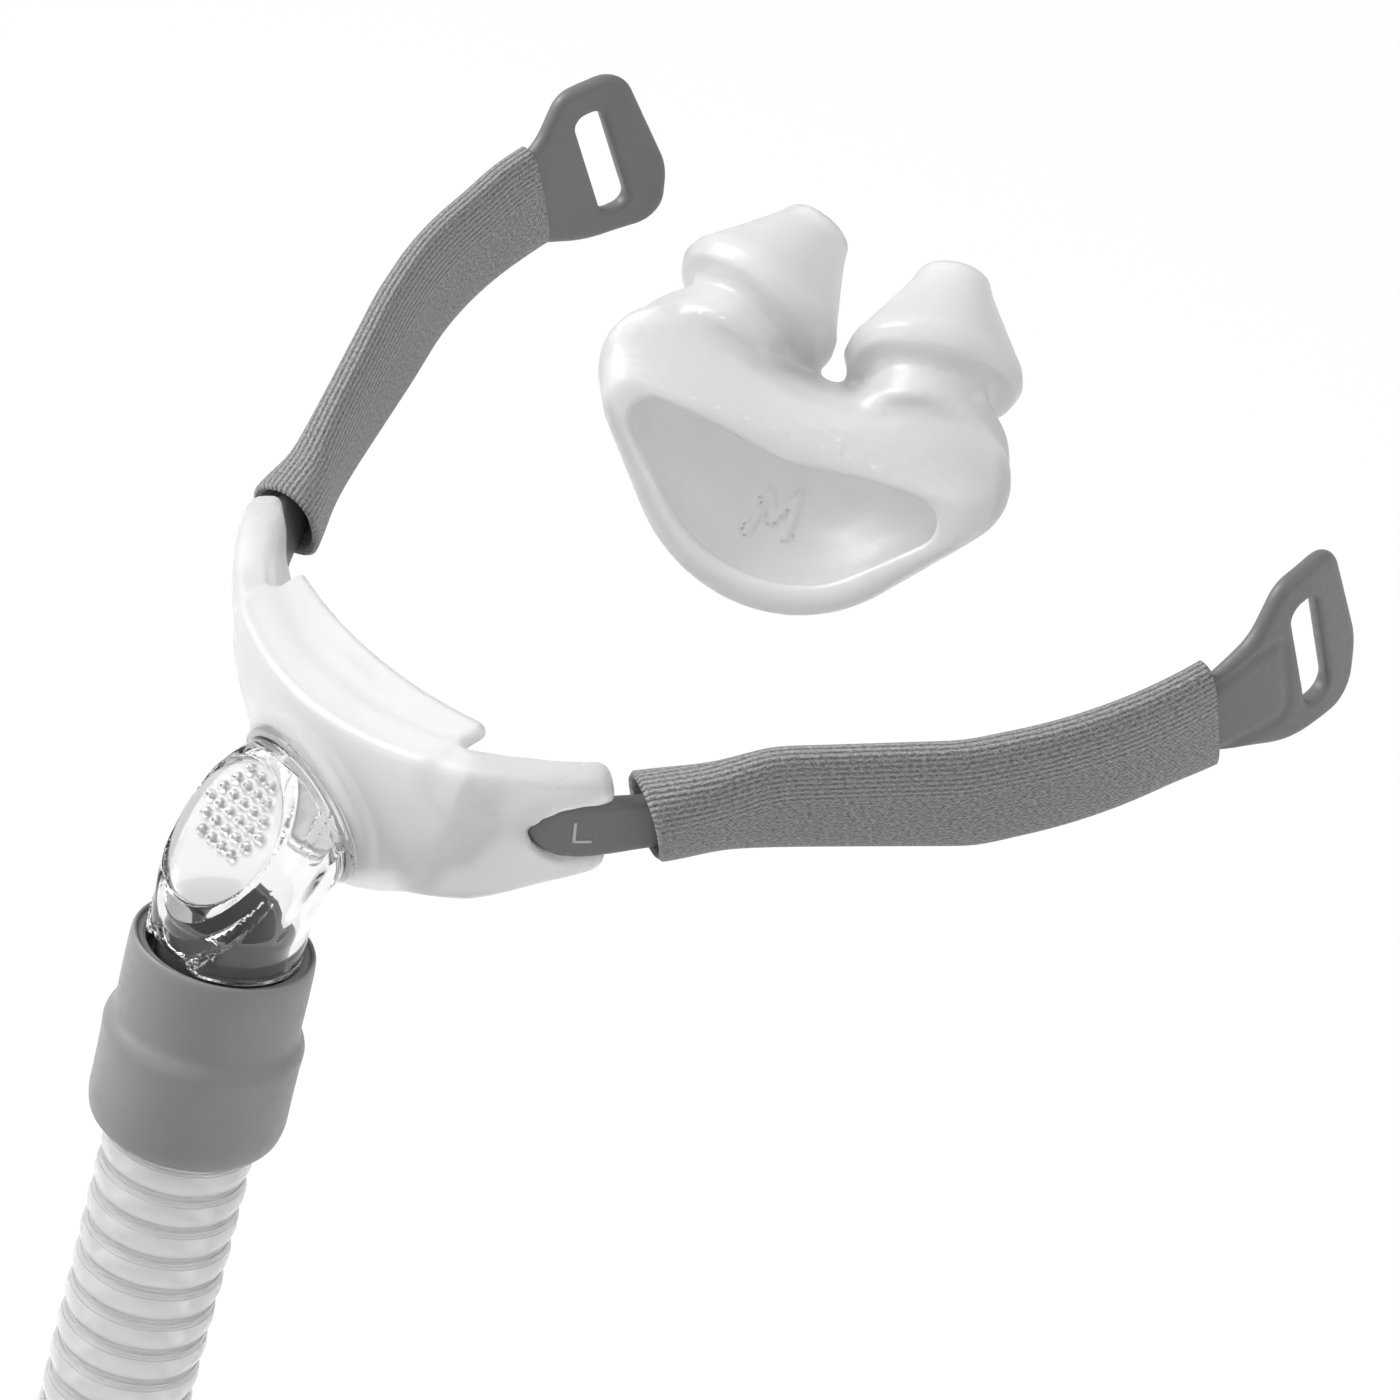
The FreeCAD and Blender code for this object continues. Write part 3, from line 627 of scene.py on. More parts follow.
def build_arm(side, sag):
    outline = lookup(arm_outline(sag), 4.0)
    slot = lookup(rounded_outline(SLOT_OUTLINE, [1.9] * 4), 4.0)
    panel = lookup(rounded_outline(PANEL_OUTLINE, PANEL_RADII), 4.0)

    def field(p):
        off = plan_distance(p[:, 0], p[:, 1])
        body = meet(np.abs(off) - ARM_HALF, outline(p[:, 1], p[:, 2]), 1.5)
        body = meet(body, -slot(p[:, 1], p[:, 2]), 1.1)
        edge = np.abs(panel(p[:, 1], p[:, 2]))
        depth = 0.42 * np.exp(-(edge / 0.75) ** 2) * (off > 0)
        return body + depth

    low = (22.0, 1.2, -13.2)
    high = (88.0, 109.4, 17.6)
    points, faces = net(field, low, high, 0.38)
    if side == "right":
        points = points * np.array([-1, 1, 1])
        faces = faces[:, ::-1]
    name = "arm_skin_" + side
    add_object(name, to_mesh(name, points, faces), arm_plastic, "mask", ["arm_" + side])


FRAME_OUTLINE = [(-42.4, 11.6), (-30.5, 12.5), (30.5, 12.5), (42.4, 11.6), (40.8, -3.6), (30.5, -9.1)]
FRAME_OUTLINE += [(12.0, -15.6), (-12.0, -15.6), (-30.5, -9.1), (-40.8, -3.6)]
FRAME_RADII = [3.0, 14.0, 14.0, 3.0, 4.4, 30.0, 20.0, 20.0, 30.0, 4.4]
BALL_RADIUS = 55.5
BALL_Z = -3.0
WING_INSIDE = 48.6
DOCK_SIZES = (53.0, 12.5, -16.0, 4.0)
ROOM_SIZES = (49.0, 10.5, -14.0, 2.8)
DOCK_REAR = (91.4, 89.0)
DOCK_END_Y = 12.0
SHELL_WALL = 2.4
THROAT_RADIUS = 10.9
THROAT_Y = (-9.5, 0.5)
THROAT_FLARE = 0.3
BOSS_BORE = 9.75
POCKET_GAP = 0.1
POCKET_FLARE = (0.2, 0.45)
LOBE_END = math.radians(48.2)
LIP_END = math.radians(51.3)
WING_DROP = 2.9
DOCK_TAB_X = 21.8
BOSS_OUTLINE = [(-16.2, 0.0), (16.2, -2.0), (16.0, -6.0), (15.0, -9.8), (13.4, -12.2), (12.4, -12.9)]
BOSS_OUTLINE += [(-12.4, -12.9)]


def build_frame():
    outline = lookup(rounded_outline(FRAME_OUTLINE, FRAME_RADII, 14))
    dock_line = lookup(d_outline(*DOCK_SIZES))
    room_line = lookup(d_outline(*ROOM_SIZES))
    boss_line = lookup(np.array(BOSS_OUTLINE))
    head = lookup(arm_outline(0.0), 9.0)

    def field(p):
        x, y, z = p.T
        rim = np.hypot(x, y - WRAP_CENTRE_Y)
        outward = soft_step((np.abs(x) - 24.5) / 8.0)
        under_lip = soft_step((7.4 - z) / 6.0)
        ball = np.sqrt(x * x + (y - WRAP_CENTRE_Y) ** 2 + (z - BALL_Z) ** 2) - BALL_RADIUS
        ball = ball + WING_DROP * outward * under_lip
        wings = meet(outline(x, z), ball, 1.6)
        wings = meet(wings, WING_INSIDE - rim, 1.2)
        tip = LOBE_END + (LIP_END - LOBE_END) * soft_step((z - 2.0) / 5.0)
        beyond = np.abs(x) * np.cos(tip) + (y - WRAP_CENTRE_Y) * np.sin(tip)
        wings = meet(wings, beyond, 2.2)
        behind = DOCK_REAR[1] - np.hypot(x, y - DOCK_REAR[0])
        dock = meet(meet(dock_line(x, z), ball, 1.2), behind, 0.8)
        low_down = np.clip((8.0 - z) / 5.0, 0, 1)
        dock = meet(dock, np.abs(x) - DOCK_TAB_X - 5.5 * low_down, 1.6)
        body = join(wings, np.maximum(dock, y - DOCK_END_Y), 1.5)
        ring = np.hypot(x, z - CORNER[2])
        body = join(body, boss_line(ring, y), 3.2)
        hollow = meet(room_line(x, z), ball + SHELL_WALL, 1.2)
        start, end = THROAT_Y
        throat = meet(ring - THROAT_RADIUS - (y - start) * THROAT_FLARE, start - y, 0.5)
        throat = np.maximum(throat, y + end)
        bore = np.maximum(ring - BOSS_BORE, y - 5.0)
        body = meet(body, -join(join(hollow, throat, 0.8), bore, 0.2), 0.5)
        off = plan_distance(x, y)
        rise = soft_step((z - 3.0) / 3.5)
        flare = POCKET_FLARE[0] + POCKET_FLARE[1] * rise
        opened = head(y, z) - POCKET_GAP - flare * np.clip(off - 1.0, 0, 6.0)
        pocket = np.maximum(opened, -off - ARM_HALF - 0.05)
        return meet(body, -pocket, 1.1)

    low = (-44.5, -13.6, -17.6)
    high = (44.5, 16.0, 13.6)
    points, faces = net(field, low, high, 0.46)
    mesh = to_mesh("frame_shell", points, faces)
    add_object("frame_shell", mesh, frosted, "mask", ["mask_frame"])


# Elbow



def bend(p, radius, k_out, k_in):
    q = p - CORNER
    first = np.hypot(q[:, 0], q[:, 2]) - radius
    along = q @ OUTLET
    second = np.sqrt(np.maximum((q * q).sum(1) - along ** 2, 0)) - radius
    height = q @ VENT_OUT
    soft = np.clip(np.abs(height) / 4.0, 0.02, 1.0)
    return np.where(height > 0, meet(first, second, k_out * soft), join(first, second, k_in * soft))


def vent_feet():
    feet = []
    for row, count in VENT_ROWS:
        for i in range(count):
            across = (i - (count - 1) / 2) * VENT_PITCH
            rise = VENT_SHIFT - row * VENT_PITCH * 0.9
            feet.append(CORNER + VENT_OUT * (VENT_DEPTH - VENT_RECESS) + X_AXIS * across + VENT_UP * rise)
    return feet


def elbow_field(p):
    q = p - CORNER
    outer = bend(p, ELBOW_RADIUS, 5.0, 5.0)
    outer = meet(outer, q @ VENT_OUT - VENT_DEPTH, 1.4)
    oval = np.hypot(q[:, 0] / VENT_FACE[0], (q @ VENT_UP - VENT_FACE_SHIFT) / VENT_FACE[1]) - 1
    dish = np.maximum(oval * VENT_FACE[0], VENT_DEPTH - VENT_RECESS - q @ VENT_OUT)
    outer = meet(outer, -dish, 0.5)
    outer = meet(outer, p[:, 1] - COLLAR_Y, 0.4)
    outer = meet(outer, q @ OUTLET - OUTLET_LENGTH, 0.6)
    ring = np.hypot(p[:, 0], p[:, 2] - CORNER[2])
    thickness = np.abs(p[:, 1] - COLLAR_Y + COLLAR_DEPTH / 2) - COLLAR_DEPTH / 2
    collar = meet(ring - COLLAR_RADIUS, thickness, 0.5)
    reach = np.abs(p[:, 1] - (COLLAR_Y + SPIGOT_END_Y) / 2) - (SPIGOT_END_Y - COLLAR_Y) / 2
    spigot = np.maximum(ring - SPIGOT_RADIUS, reach - 0.01)
    outer = join(join(outer, collar, 0.5), spigot, 0.3)
    height = q @ VENT_OUT - VENT_DEPTH + VENT_RECESS
    near = (height > -1.0) & (height < NIPPLE_HEIGHT + 1.5)
    if near.any():
        best = np.full(near.sum(), 9.0)
        holes = np.full(near.sum(), 9.0)
        for foot in vent_feet():
            d = p[near] - foot
            up = d @ VENT_OUT
            r = np.sqrt(np.maximum((d * d).sum(1) - up ** 2, 0))
            side = r - NIPPLE_RADIUS + NIPPLE_TAPER * np.clip(up, 0, 1) / NIPPLE_HEIGHT
            cone = meet(side, up - NIPPLE_HEIGHT, 0.25)
            best = np.minimum(best, np.maximum(cone, -up - 0.5))
            holes = np.minimum(holes, r - NIPPLE_BORE)
        outer[near] = np.maximum(join(outer[near], best, 0.35), -holes)
    bore = np.maximum(bend(p, ELBOW_BORE, 2.5, 3.0), height + VENT_WALL)
    neck = np.where(p[:, 1] > COLLAR_Y - 3.0, ring - SPIGOT_BORE, 99.0)
    bore = np.where(p[:, 1] > COLLAR_Y - 1.8, neck, bore)
    return meet(outer, -bore, 0.3)


def build_elbow():
    low = (-12.6, -37.5, -25.5)
    high = (12.6, -7.4, 8.8)
    points, faces = net(elbow_field, low, high, 0.3)
    add_object("elbow_clear", to_mesh("elbow_clear", points, faces), clear, "elbow", ["elbow"])


# Cuffs and connectors

def build_turned():
    s = CUFF_START
    cuff = [(11.9, s + 0.65), (12.1, s + 0.1), (12.5, s), (12.75, s + 0.5), (12.85, s + 1.6)]
    cuff += [(12.9, s + 6.0)]
    cuff += [(12.85, s + 11.0), (12.95, s + 12.2), (13.7, s + 13.5), (14.05, s + 14.6), (13.9, s + 17.0)]
    cuff += [(13.85, s + 23.0), (13.9, s + 26.4), (13.4, s + 28.6), (12.2, s + 29.9), (10.9, s + 30.1)]
    cuff += [(10.75, s + 29.4), (10.75, s + 0.8), (11.05, s + 0.8), (11.1, s + 0.65)]
    points, faces = lathe(rounded_profile(cuff, 1.2), CORNER, OUTLET, 128)
    mesh = to_mesh("cuff", points, faces)
    add_object("cuff_sleeve", mesh, cuff_rubber, "tube", ["hose_cuff"])
    swivel = [(7.2, s - 4.6), (8.82, s - 4.6), (8.82, s + 3.6), (10.6, s + 3.6), (10.6, s + 15.2)]
    swivel += [(7.2, s + 15.2)]
    points, faces = lathe(rounded_profile(swivel, 0.5), CORNER, OUTLET)
    mesh = to_mesh("swivel", points, faces)
    add_object("swivel_core", mesh, dark_plastic, "tube", ["swivel_connector"])
    far = [(10.75, -15.0), (11.8, -15.0), (13.0, -14.0), (13.4, -12.4), (13.4, 3.0), (12.4, 4.4)]
    far += [(12.4, 11.4), (11.8, 12.0), (9.66, 12.0), (9.66, 5.0), (10.3, 5.0), (10.3, 2.6), (10.75, 2.6)]
    points, faces = lathe(rounded_profile(far, 0.6), HOSE_END, HOSE_END_AXIS)
    mesh = to_mesh("far_cuff", points, faces)
    far_cuff = add_object("far_cuff_sleeve", mesh, cuff_rubber, "tube", ["far_cuff"])
    tube = [(7.8, 2.8), (10.2, 2.8), (10.2, 4.8), (9.6, 4.95), (9.6, 12.12), (12.2, 12.12), (12.2, 14.52)]
    tube += [(11.0, 14.52), (11.0, 34.7), (10.4, 35.52), (9.2, 35.52), (9.2, 12.1), (7.8, 10.1)]
    points, faces = lathe(rounded_profile(tube, 0.35), HOSE_END, HOSE_END_AXIS)
    mesh = to_mesh("far_tube", points, faces)
    far_tube = add_object("far_connector_tube", mesh, dark_plastic, "far_end",
                          ["far_connector"])
    return far_cuff, far_tube


# Hose

def hose_line():
    """Points along the hose's own smooth line, every half millimetre."""
    curve = bpy.data.curves.new("hose_line", "CURVE")
    curve.dimensions = "3D"
    curve.resolution_u = 24
    spline = curve.splines.new("NURBS")
    spline.points.add(len(HOSE_ROUTE) - 1)
    for point, (y, z) in zip(spline.points, HOSE_ROUTE):
        point.co = (0.0, y * MM, z * MM, 1.0)
    spline.order_u = 3
    spline.use_endpoint_u = True
    holder = bpy.data.objects.new("hose_line", curve)
    line = bpy.data.meshes.new_from_object(holder)
    raw = np.array([v.co for v in line.vertices]) / MM
    bpy.data.objects.remove(holder)
    gone = np.concatenate([[0], np.cumsum(np.linalg.norm(np.diff(raw, axis=0), axis=1))])
    at = np.arange(0, gone[-1], HOSE_PITCH / 15)
    at = np.append(at, gone[-1])
    return at, np.stack([np.interp(at, gone, raw[:, i]) for i in range(3)], -1)


def build_hose():
    at, line = hose_line()
    tangent = np.gradient(line, axis=0)
    tangent /= np.linalg.norm(tangent, axis=1)[:, None]
    phase = (at / HOSE_PITCH) % 1.0
    lobe = np.sin(math.pi * phase) ** 0.55
    outer = HOSE_VALLEY + (HOSE_RADIUS - HOSE_VALLEY) * lobe
    inner = outer - HOSE_WALL
    around = HOSE_AROUND
    angle = np.arange(around) * 2 * math.pi / around
    normal = np.cross(tangent, X_AXIS)
    ring = np.cos(angle)[None, :, None] * X_AXIS + np.sin(angle)[None, :, None] * normal[:, None]
    shell_out = line[:, None] + outer[:, None, None] * ring
    shell_in = line[::-1, None] + inner[::-1, None, None] * ring[::-1]
    points = np.concatenate([shell_out, shell_in]).reshape(-1, 3)
    faces = grid_faces(2 * len(at), around)
    mesh = to_mesh("hose_wall", points, faces)
    layer = mesh.uv_layers.new(name="run")
    run = np.concatenate([at, at[::-1]])[faces // around]
    run = np.stack([run, faces % around], -1).astype(np.float32)
    layer.data.foreach_set("uv", run.reshape(-1))
    hose = add_object("hose_wall", mesh, hose_clear, "tube", ["hose"])


# Sleeves

def plan_line():
    """The strip's middle line in plan, with the way out from the face at each point."""
    wrap = np.linspace(math.radians(25), LINE_ANGLE, 60)
    arc = np.stack([STRIP_RADIUS * np.sin(wrap), WRAP_CENTRE_Y - STRIP_RADIUS * np.cos(wrap)], -1)
    run = (BEND_Y - arc[-1, 1]) / math.sin(LINE_ANGLE)
    way = np.array([math.cos(LINE_ANGLE), math.sin(LINE_ANGLE)])
    straight = arc[-1] + way * np.linspace(0, run, 60)[1:, None]
    out = np.array([math.sin(LINE_ANGLE), -math.cos(LINE_ANGLE)])
    centre = straight[-1] - out * BEND_RADIUS
    turn = LINE_ANGLE + np.linspace(0, math.radians(62), 80)[1:]
    rear = centre + BEND_RADIUS * np.stack([np.sin(turn), -np.cos(turn)], -1)
    return np.concatenate([arc, straight, rear])


def soften(values, width):
    kernel = np.exp(-np.linspace(-2, 2, 2 * width + 1) ** 2)
    padded = np.pad(values, width, mode="reflect", reflect_type="odd")
    return np.convolve(padded, kernel / kernel.sum(), mode="valid")


def sleeve_stations(side, sag, step):
    line = plan_line()
    first = np.argmax(line[:, 1] > MOUTH_Y + 0.3)
    last = np.argmax(line[:, 1] > SLEEVE_ENDS[side] - 0.4)
    line = line[first:last + 1]
    gone = np.concatenate([[0], np.cumsum(np.linalg.norm(np.diff(line, axis=0), axis=1))])
    at = np.arange(0, gone[-1], step)
    plan = np.stack([np.interp(at, gone, line[:, i]) for i in range(2)], -1)
    way = np.gradient(plan, axis=0)
    way /= np.linalg.norm(way, axis=1)[:, None]
    y = plan[:, 1]
    width = int(5.0 / step)
    tops = [9.5, *SLEEVE_NECK[side], 9.6 + sag, 9.9, 10.6]
    top = soften(np.interp(y, [14, 22, 29, 50, 74, 80.5], tops), width)
    low = soften(np.interp(y, [14, 22, 50, 74, 80.5], [-3.1, -3.3, -8.0 + sag, -6.7, -7.0]), width)
    return at, plan, way, top, low


def oblong(half_width, half_height, squareness, angle):
    c, s = np.cos(angle), np.sin(angle)
    across = half_width * np.sign(c) * np.abs(c) ** (2 / squareness)
    rise = half_height * np.sign(s) * np.abs(s) ** (2 / squareness)
    return across, rise


def sleeve_shell(side, sag, inset, around, step):
    at, plan, way, top, low = sleeve_stations(side, sag, step)
    out = np.stack([way[:, 1], -way[:, 0]], -1)
    dense = np.linspace(0, 2 * math.pi, 721) + math.pi / 2
    rows, girths = [], []
    for i in range(len(at)):
        open_share = math.exp(-(at[i] / 8.5) ** 1.6)
        half = ARM_HALF + CLOTH - 0.05 + MOUTH_GAP * open_share - inset
        height = (top[i] - low[i]) / 2 - inset
        shape = 3.2 - 0.9 * open_share
        across, rise = oblong(half, height, shape, dense)
        length = np.concatenate([[0], np.cumsum(np.hypot(np.diff(across), np.diff(rise)))])
        spots = np.linspace(0, length[-1], around, endpoint=False)
        across = np.interp(spots, length, across)
        rise = np.interp(spots, length, rise) + (top[i] + low[i]) / 2
        back = MOUTH_SLANT * open_share * across / (ARM_HALF + CLOTH + MOUTH_GAP)
        x = plan[i, 0] + out[i, 0] * across + way[i, 0] * back
        y = plan[i, 1] + out[i, 1] * across + way[i, 1] * back
        rows.append(np.stack([x, y, rise], -1))
        girths.append(np.where(spots > length[-1] / 2, spots - length[-1], spots))
    return np.array(rows), np.array(girths), at


def build_sleeve(side, sag):
    around = 120
    step = 0.7
    outer, girth, at = sleeve_shell(side, sag, 0.0, around, step)
    inner, inner_girth, _ = sleeve_shell(side, sag, CLOTH - 0.15, around, step)
    rim = (outer[0] + inner[0]) / 2 + (outer[0] - outer[1]) * 0.8
    rows = np.concatenate([outer, inner[::-1], rim[None]])
    uv = np.concatenate([np.stack([np.repeat(at[:, None], around, 1), girth], -1),
                         np.stack([np.repeat(at[::-1, None], around, 1), inner_girth[::-1]], -1),
                         np.stack([np.full((1, around), -0.5), girth[:1]], -1)]).reshape(-1, 2)
    points = rows.reshape(-1, 3)
    faces = grid_faces(len(rows), around)
    if side == "right":
        points = points * np.array([-1, 1, 1])
        faces = faces[:, ::-1]
    mesh = to_mesh("sleeve_" + side, points, faces)
    layer = mesh.uv_layers.new(name="girth")
    corner = uv[faces.reshape(-1)].reshape(-1, 4, 2)
    wrap = corner[..., 1].max(1) - corner[..., 1].min(1) > 10
    turned = corner[..., 1] < 0
    length = 2 * np.abs(uv[:, 1]).max()
    corner[..., 1] = np.where(wrap[:, None] & turned, corner[..., 1] + length, corner[..., 1])
    layer.data.foreach_set("uv", corner.reshape(-1).astype(np.float32))
    add_object("knit_sleeve_" + side, mesh, knit, "mask", ["sleeve_" + side])


# Cushion

def turn_matrix():
    yaw, pitch, roll = CUSHION_TURNS
    turns = [Matrix.Rotation(a, 3, way) for a, way in ((yaw, "Z"), (pitch, "X"), (roll, "Y"))]
    return np.array(turns[0] @ turns[1] @ turns[2])


def lip_outline(half_width, top, apex, corner, bottom_radius):
    """Distance from the middle to the edge of a rounded triangle, by angle."""
    points = [(-half_width, top), (0.0, -apex), (half_width, top)]
    radii = [corner, bottom_radius, corner]
    wire = []
    for i in range(3):
        here = np.array(points[i])
        a = np.array(points[i - 1]) - here
        b = np.array(points[(i + 1) % 3]) - here
        a, b = a / np.linalg.norm(a), b / np.linalg.norm(b)
        half = math.acos(np.clip(a @ b, -1, 1)) / 2
        inward = (a + b) / np.linalg.norm(a + b)
        centre = here + inward * radii[i] / math.sin(half)
        start = here + a * radii[i] / math.tan(half)
        end = here + b * radii[i] / math.tan(half)
        t0 = math.atan2(*(start - centre)[::-1])
        t1 = math.atan2(*(end - centre)[::-1])
        t1 = t0 + (t1 - t0 + math.pi) % (2 * math.pi) - math.pi
        for t in np.linspace(t0, t1, 40):
            wire.append(centre + radii[i] * np.array([math.cos(t), math.sin(t)]))
    wire = np.array(wire)
    wire = np.concatenate([wire, wire[:1]])
    share = np.linspace(0, 1, 12, endpoint=False)[:, None]
    dense = np.concatenate([a + (b - a) * share for a, b in zip(wire[:-1], wire[1:])])
    dense = dense - np.array([0, LIP_CENTRE_Z])
    angle = np.arctan2(dense[:, 1], dense[:, 0])
    order = np.argsort(angle)
    reach = np.hypot(dense[:, 0], dense[:, 1])
    angle, reach = angle[order], reach[order]
    spots = np.linspace(-math.pi, math.pi, 721)
    return np.interp(spots, angle, reach, period=2 * math.pi)


def skin_table():
    """Reach by depth and angle, smooth from section to section."""
    depth = np.linspace(-2.0, CUSHION_DEPTH + 2.0, 89)
    keys = np.array([s[0] for s in LIP_SECTIONS])
    rows = np.array([lip_outline(*s[1:]) for s in LIP_SECTIONS])
    table = np.array([np.interp(depth, keys, rows[:, i]) for i in range(rows.shape[1])]).T
    for i in range(table.shape[1]):
        table[:, i] = soften(table[:, i], 9)
    return depth, table


SKIN_DEPTH, SKIN = skin_table()


def skin(angle, y, slope=False):
    """Reach of the skin at an angle and depth, and how steeply it changes with depth."""
    u = (angle + math.pi) / (2 * math.pi) * (SKIN.shape[1] - 1)
    v = np.clip((y - SKIN_DEPTH[0]) / (SKIN_DEPTH[1] - SKIN_DEPTH[0]), 0, len(SKIN_DEPTH) - 1.001)
    i = np.clip(u.astype(int), 0, SKIN.shape[1] - 2)
    j = v.astype(int)
    fu, fv = u - i, v - j
    low = SKIN[j, i] * (1 - fu) + SKIN[j, i + 1] * fu
    high = SKIN[j + 1, i] * (1 - fu) + SKIN[j + 1, i + 1] * fu
    return low * (1 - fv) + high * fv, (high - low) / (SKIN_DEPTH[1] - SKIN_DEPTH[0])


PILLOW_SKIN = [(-7.4, -9.0), (7.4, -9.0), (7.3, -4.6), (8.6, -3.0), (11.2, -2.2), (11.8, -0.9)]
PILLOW_SKIN += [(11.5, 0.4), (10.3, 2.4), (8.5, 5.6), (6.7, 8.8), (5.2, 11.6), (4.4, 13.6), (-4.4, 13.6)]
PILLOW_VOID = [(-5.0, -7.6), (5.0, -7.6), (5.4, -3.4), (8.4, -0.9), (8.2, 1.6), (5.6, 6.4), (4.0, 11.0)]
PILLOW_VOID += [(3.6, 17.0), (-3.6, 17.0)]


def pillow_place(q, side):
    axis = np.array([-side * math.sin(PILLOW_LEAN), math.cos(PILLOW_LEAN) * math.cos(PILLOW_RISE),
                     math.cos(PILLOW_LEAN) * math.sin(PILLOW_RISE)])
    d = q - np.array([side * PILLOW_AT[0], PILLOW_AT[1], PILLOW_AT[2]])
    s = d @ axis
    return np.sqrt(np.maximum((d * d).sum(1) - s * s, 0)), s


SIZE_LETTER = [(-4.4, -19.0), (-3.6, -13.2), (-1.7, -17.0), (0.6, -12.4), (0.9, -18.2)]


def stroke_share(x, z, line, half):
    """One on a line of strokes, nought beyond half a stroke's width."""
    best = np.full(len(x), 99.0)
    for a, b in zip(line[:-1], line[1:]):
        a, b = np.array(a), np.array(b)
        e = b - a
        t = np.clip(((x - a[0]) * e[0] + (z - a[1]) * e[1]) / (e @ e), 0, 1)
        best = np.minimum(best, np.hypot(x - a[0] - e[0] * t, z - a[1] - e[1] * t))
    return soft_step((half - best) / 0.45)


def cushion_field(p):
    """In the cushion's own frame: the lip at depth 0, the pillows beyond."""
    x, y = p[:, 0], p[:, 1]
    z = p[:, 2] - LIP_CENTRE_Z
    reach = np.hypot(x, z)
    angle = np.arctan2(z, x)
    edge, steep = skin(angle, y)
    level = 1 / np.sqrt(1 + steep ** 2)
    side = (reach - edge) * level
    saddle = np.hypot(x, p[:, 2] - SADDLE_RISE - SADDLE_RADIUS)
    outer = meet(side, y - CUSHION_DEPTH, 7.0)
    outer = meet(outer, SADDLE_RADIUS - saddle, 5.0)
    upper = np.clip(1 - np.abs(z - 12.0) / 6.0, 0, 1) * np.clip(1 - np.abs(x) / 28.0, 0, 1) ** 0.5
    fold = 0.8 * np.exp(-((y - 7.6) / 1.3) ** 2) * np.clip((np.abs(x) - 6) / 10, 0, 1)
    outer = outer + fold * (z > 8)
    ripple = 0.13 * np.cos(y * 2 * math.pi / 0.62) * np.clip(1 - np.abs(y - 1.6) / 1.6, 0, 1)
    outer = outer + ripple * upper
    outer = meet(outer, -y, 1.6)
    raised = 0.7 * stroke_share(x, p[:, 2], SIZE_LETTER, 0.85)
    hollow = meet(side + CUSHION_WALL, y - CUSHION_DEPTH + CUSHION_WALL, 5.0) + raised * (y > 4.0)
    hollow = meet(hollow, SADDLE_RADIUS + CUSHION_WALL - saddle, 4.0)
    hollow = meet(hollow, CUSHION_WALL - y, 1.5)
    mouth = np.maximum(reach - skin(angle, y * 0)[0] + LIP_OPENING, np.abs(y) - 4.0)
    for s in (1, -1):
        r, along = pillow_place(p, s)
        near = (np.abs(along) < 22) & (r < 20)
        if near.any():
            body = polygon_field(r[near], along[near], PILLOW_SKIN) - 1.0
            outer[near] = join(outer[near], body, 3.0)
            tunnel = polygon_field(r[near], along[near], PILLOW_VOID)
            hollow[near] = join(hollow[near], tunnel, 2.0)
    return meet(outer, -join(hollow, mouth, 1.2), 0.9)


def build_cushion():
    low = (-38.0, -0.8, -36.0)
    high = (38.0, 29.0, 31.5)
    points, faces = net(cushion_field, low, high, 0.55)
    points = points @ turn_matrix().T + CUSHION_AT
    mesh = to_mesh("cushion_skin", points, faces)
    add_object("cushion_skin", mesh, silicone, "mask", ["cushion"])


# Side marks: strokes in a square of one by one

MARK_TURN = math.radians(44.4)
MARK_HEIGHT = 0.6
MARK_SIZE = 3.3
MARK_WIDTH = 0.42
MARK_L = [((0.2, 1.0), (0.0, 0.0)), ((0.0, 0.0), (0.66, 0.0))]
MARK_R = [((0.0, 0.0), (0.2, 1.0)), ((0.2, 1.0), (0.6, 1.0)), ((0.6, 1.0), (0.74, 0.78))]
MARK_R += [((0.74, 0.78), (0.5, 0.52)), ((0.5, 0.52), (0.1, 0.52)), ((0.4, 0.52), (0.62, 0.0))]


def build_mark(name, strokes, side, angle, height, size, weight):
    """Raised strokes on the outside of an arm's head."""
    radius = WRAP_RADIUS + 0.03
    points, faces = [], []
    for start, end in strokes:
        a, b = np.array(start) * size, np.array(end) * size
        d = (b - a) / np.linalg.norm(b - a)
        n = np.array([-d[1], d[0]]) * weight / 2
        a, b = a - d * weight / 2, b + d * weight / 2
        base = len(points)
        steps = 6
        for i in range(steps + 1):
            m = a + (b - a) * i / steps
            for q in (m + n, m - n):
                turn = angle + q[0] / radius
                x, y = side * radius * math.sin(turn), WRAP_CENTRE_Y - radius * math.cos(turn)
                points.append((x, y, height + q[1]))
        for i in range(steps):
            k = base + 2 * i
            faces.append((k, k + 1, k + 3, k + 2))
    mesh = to_mesh(name, points, faces)
    mark = add_object(name, mesh, mark_paint, "mask")
    solid = mark.modifiers.new("solid", "SOLIDIFY")
    solid.thickness = 0.12 * MM
    solid.offset = 0.0


# Studio: each lamp has its way from the part in the camera's axes, distance, size and power

ROOM_STRENGTH = 0.66
FLOOR_GLOW = 0.86
LAMPS = [("key", (-0.8, 0.75, 0.3), 0.9, 0.5, 8.5), ("fill", (0.9, 0.25, 0.6), 1.1, 0.8, 2.4)]


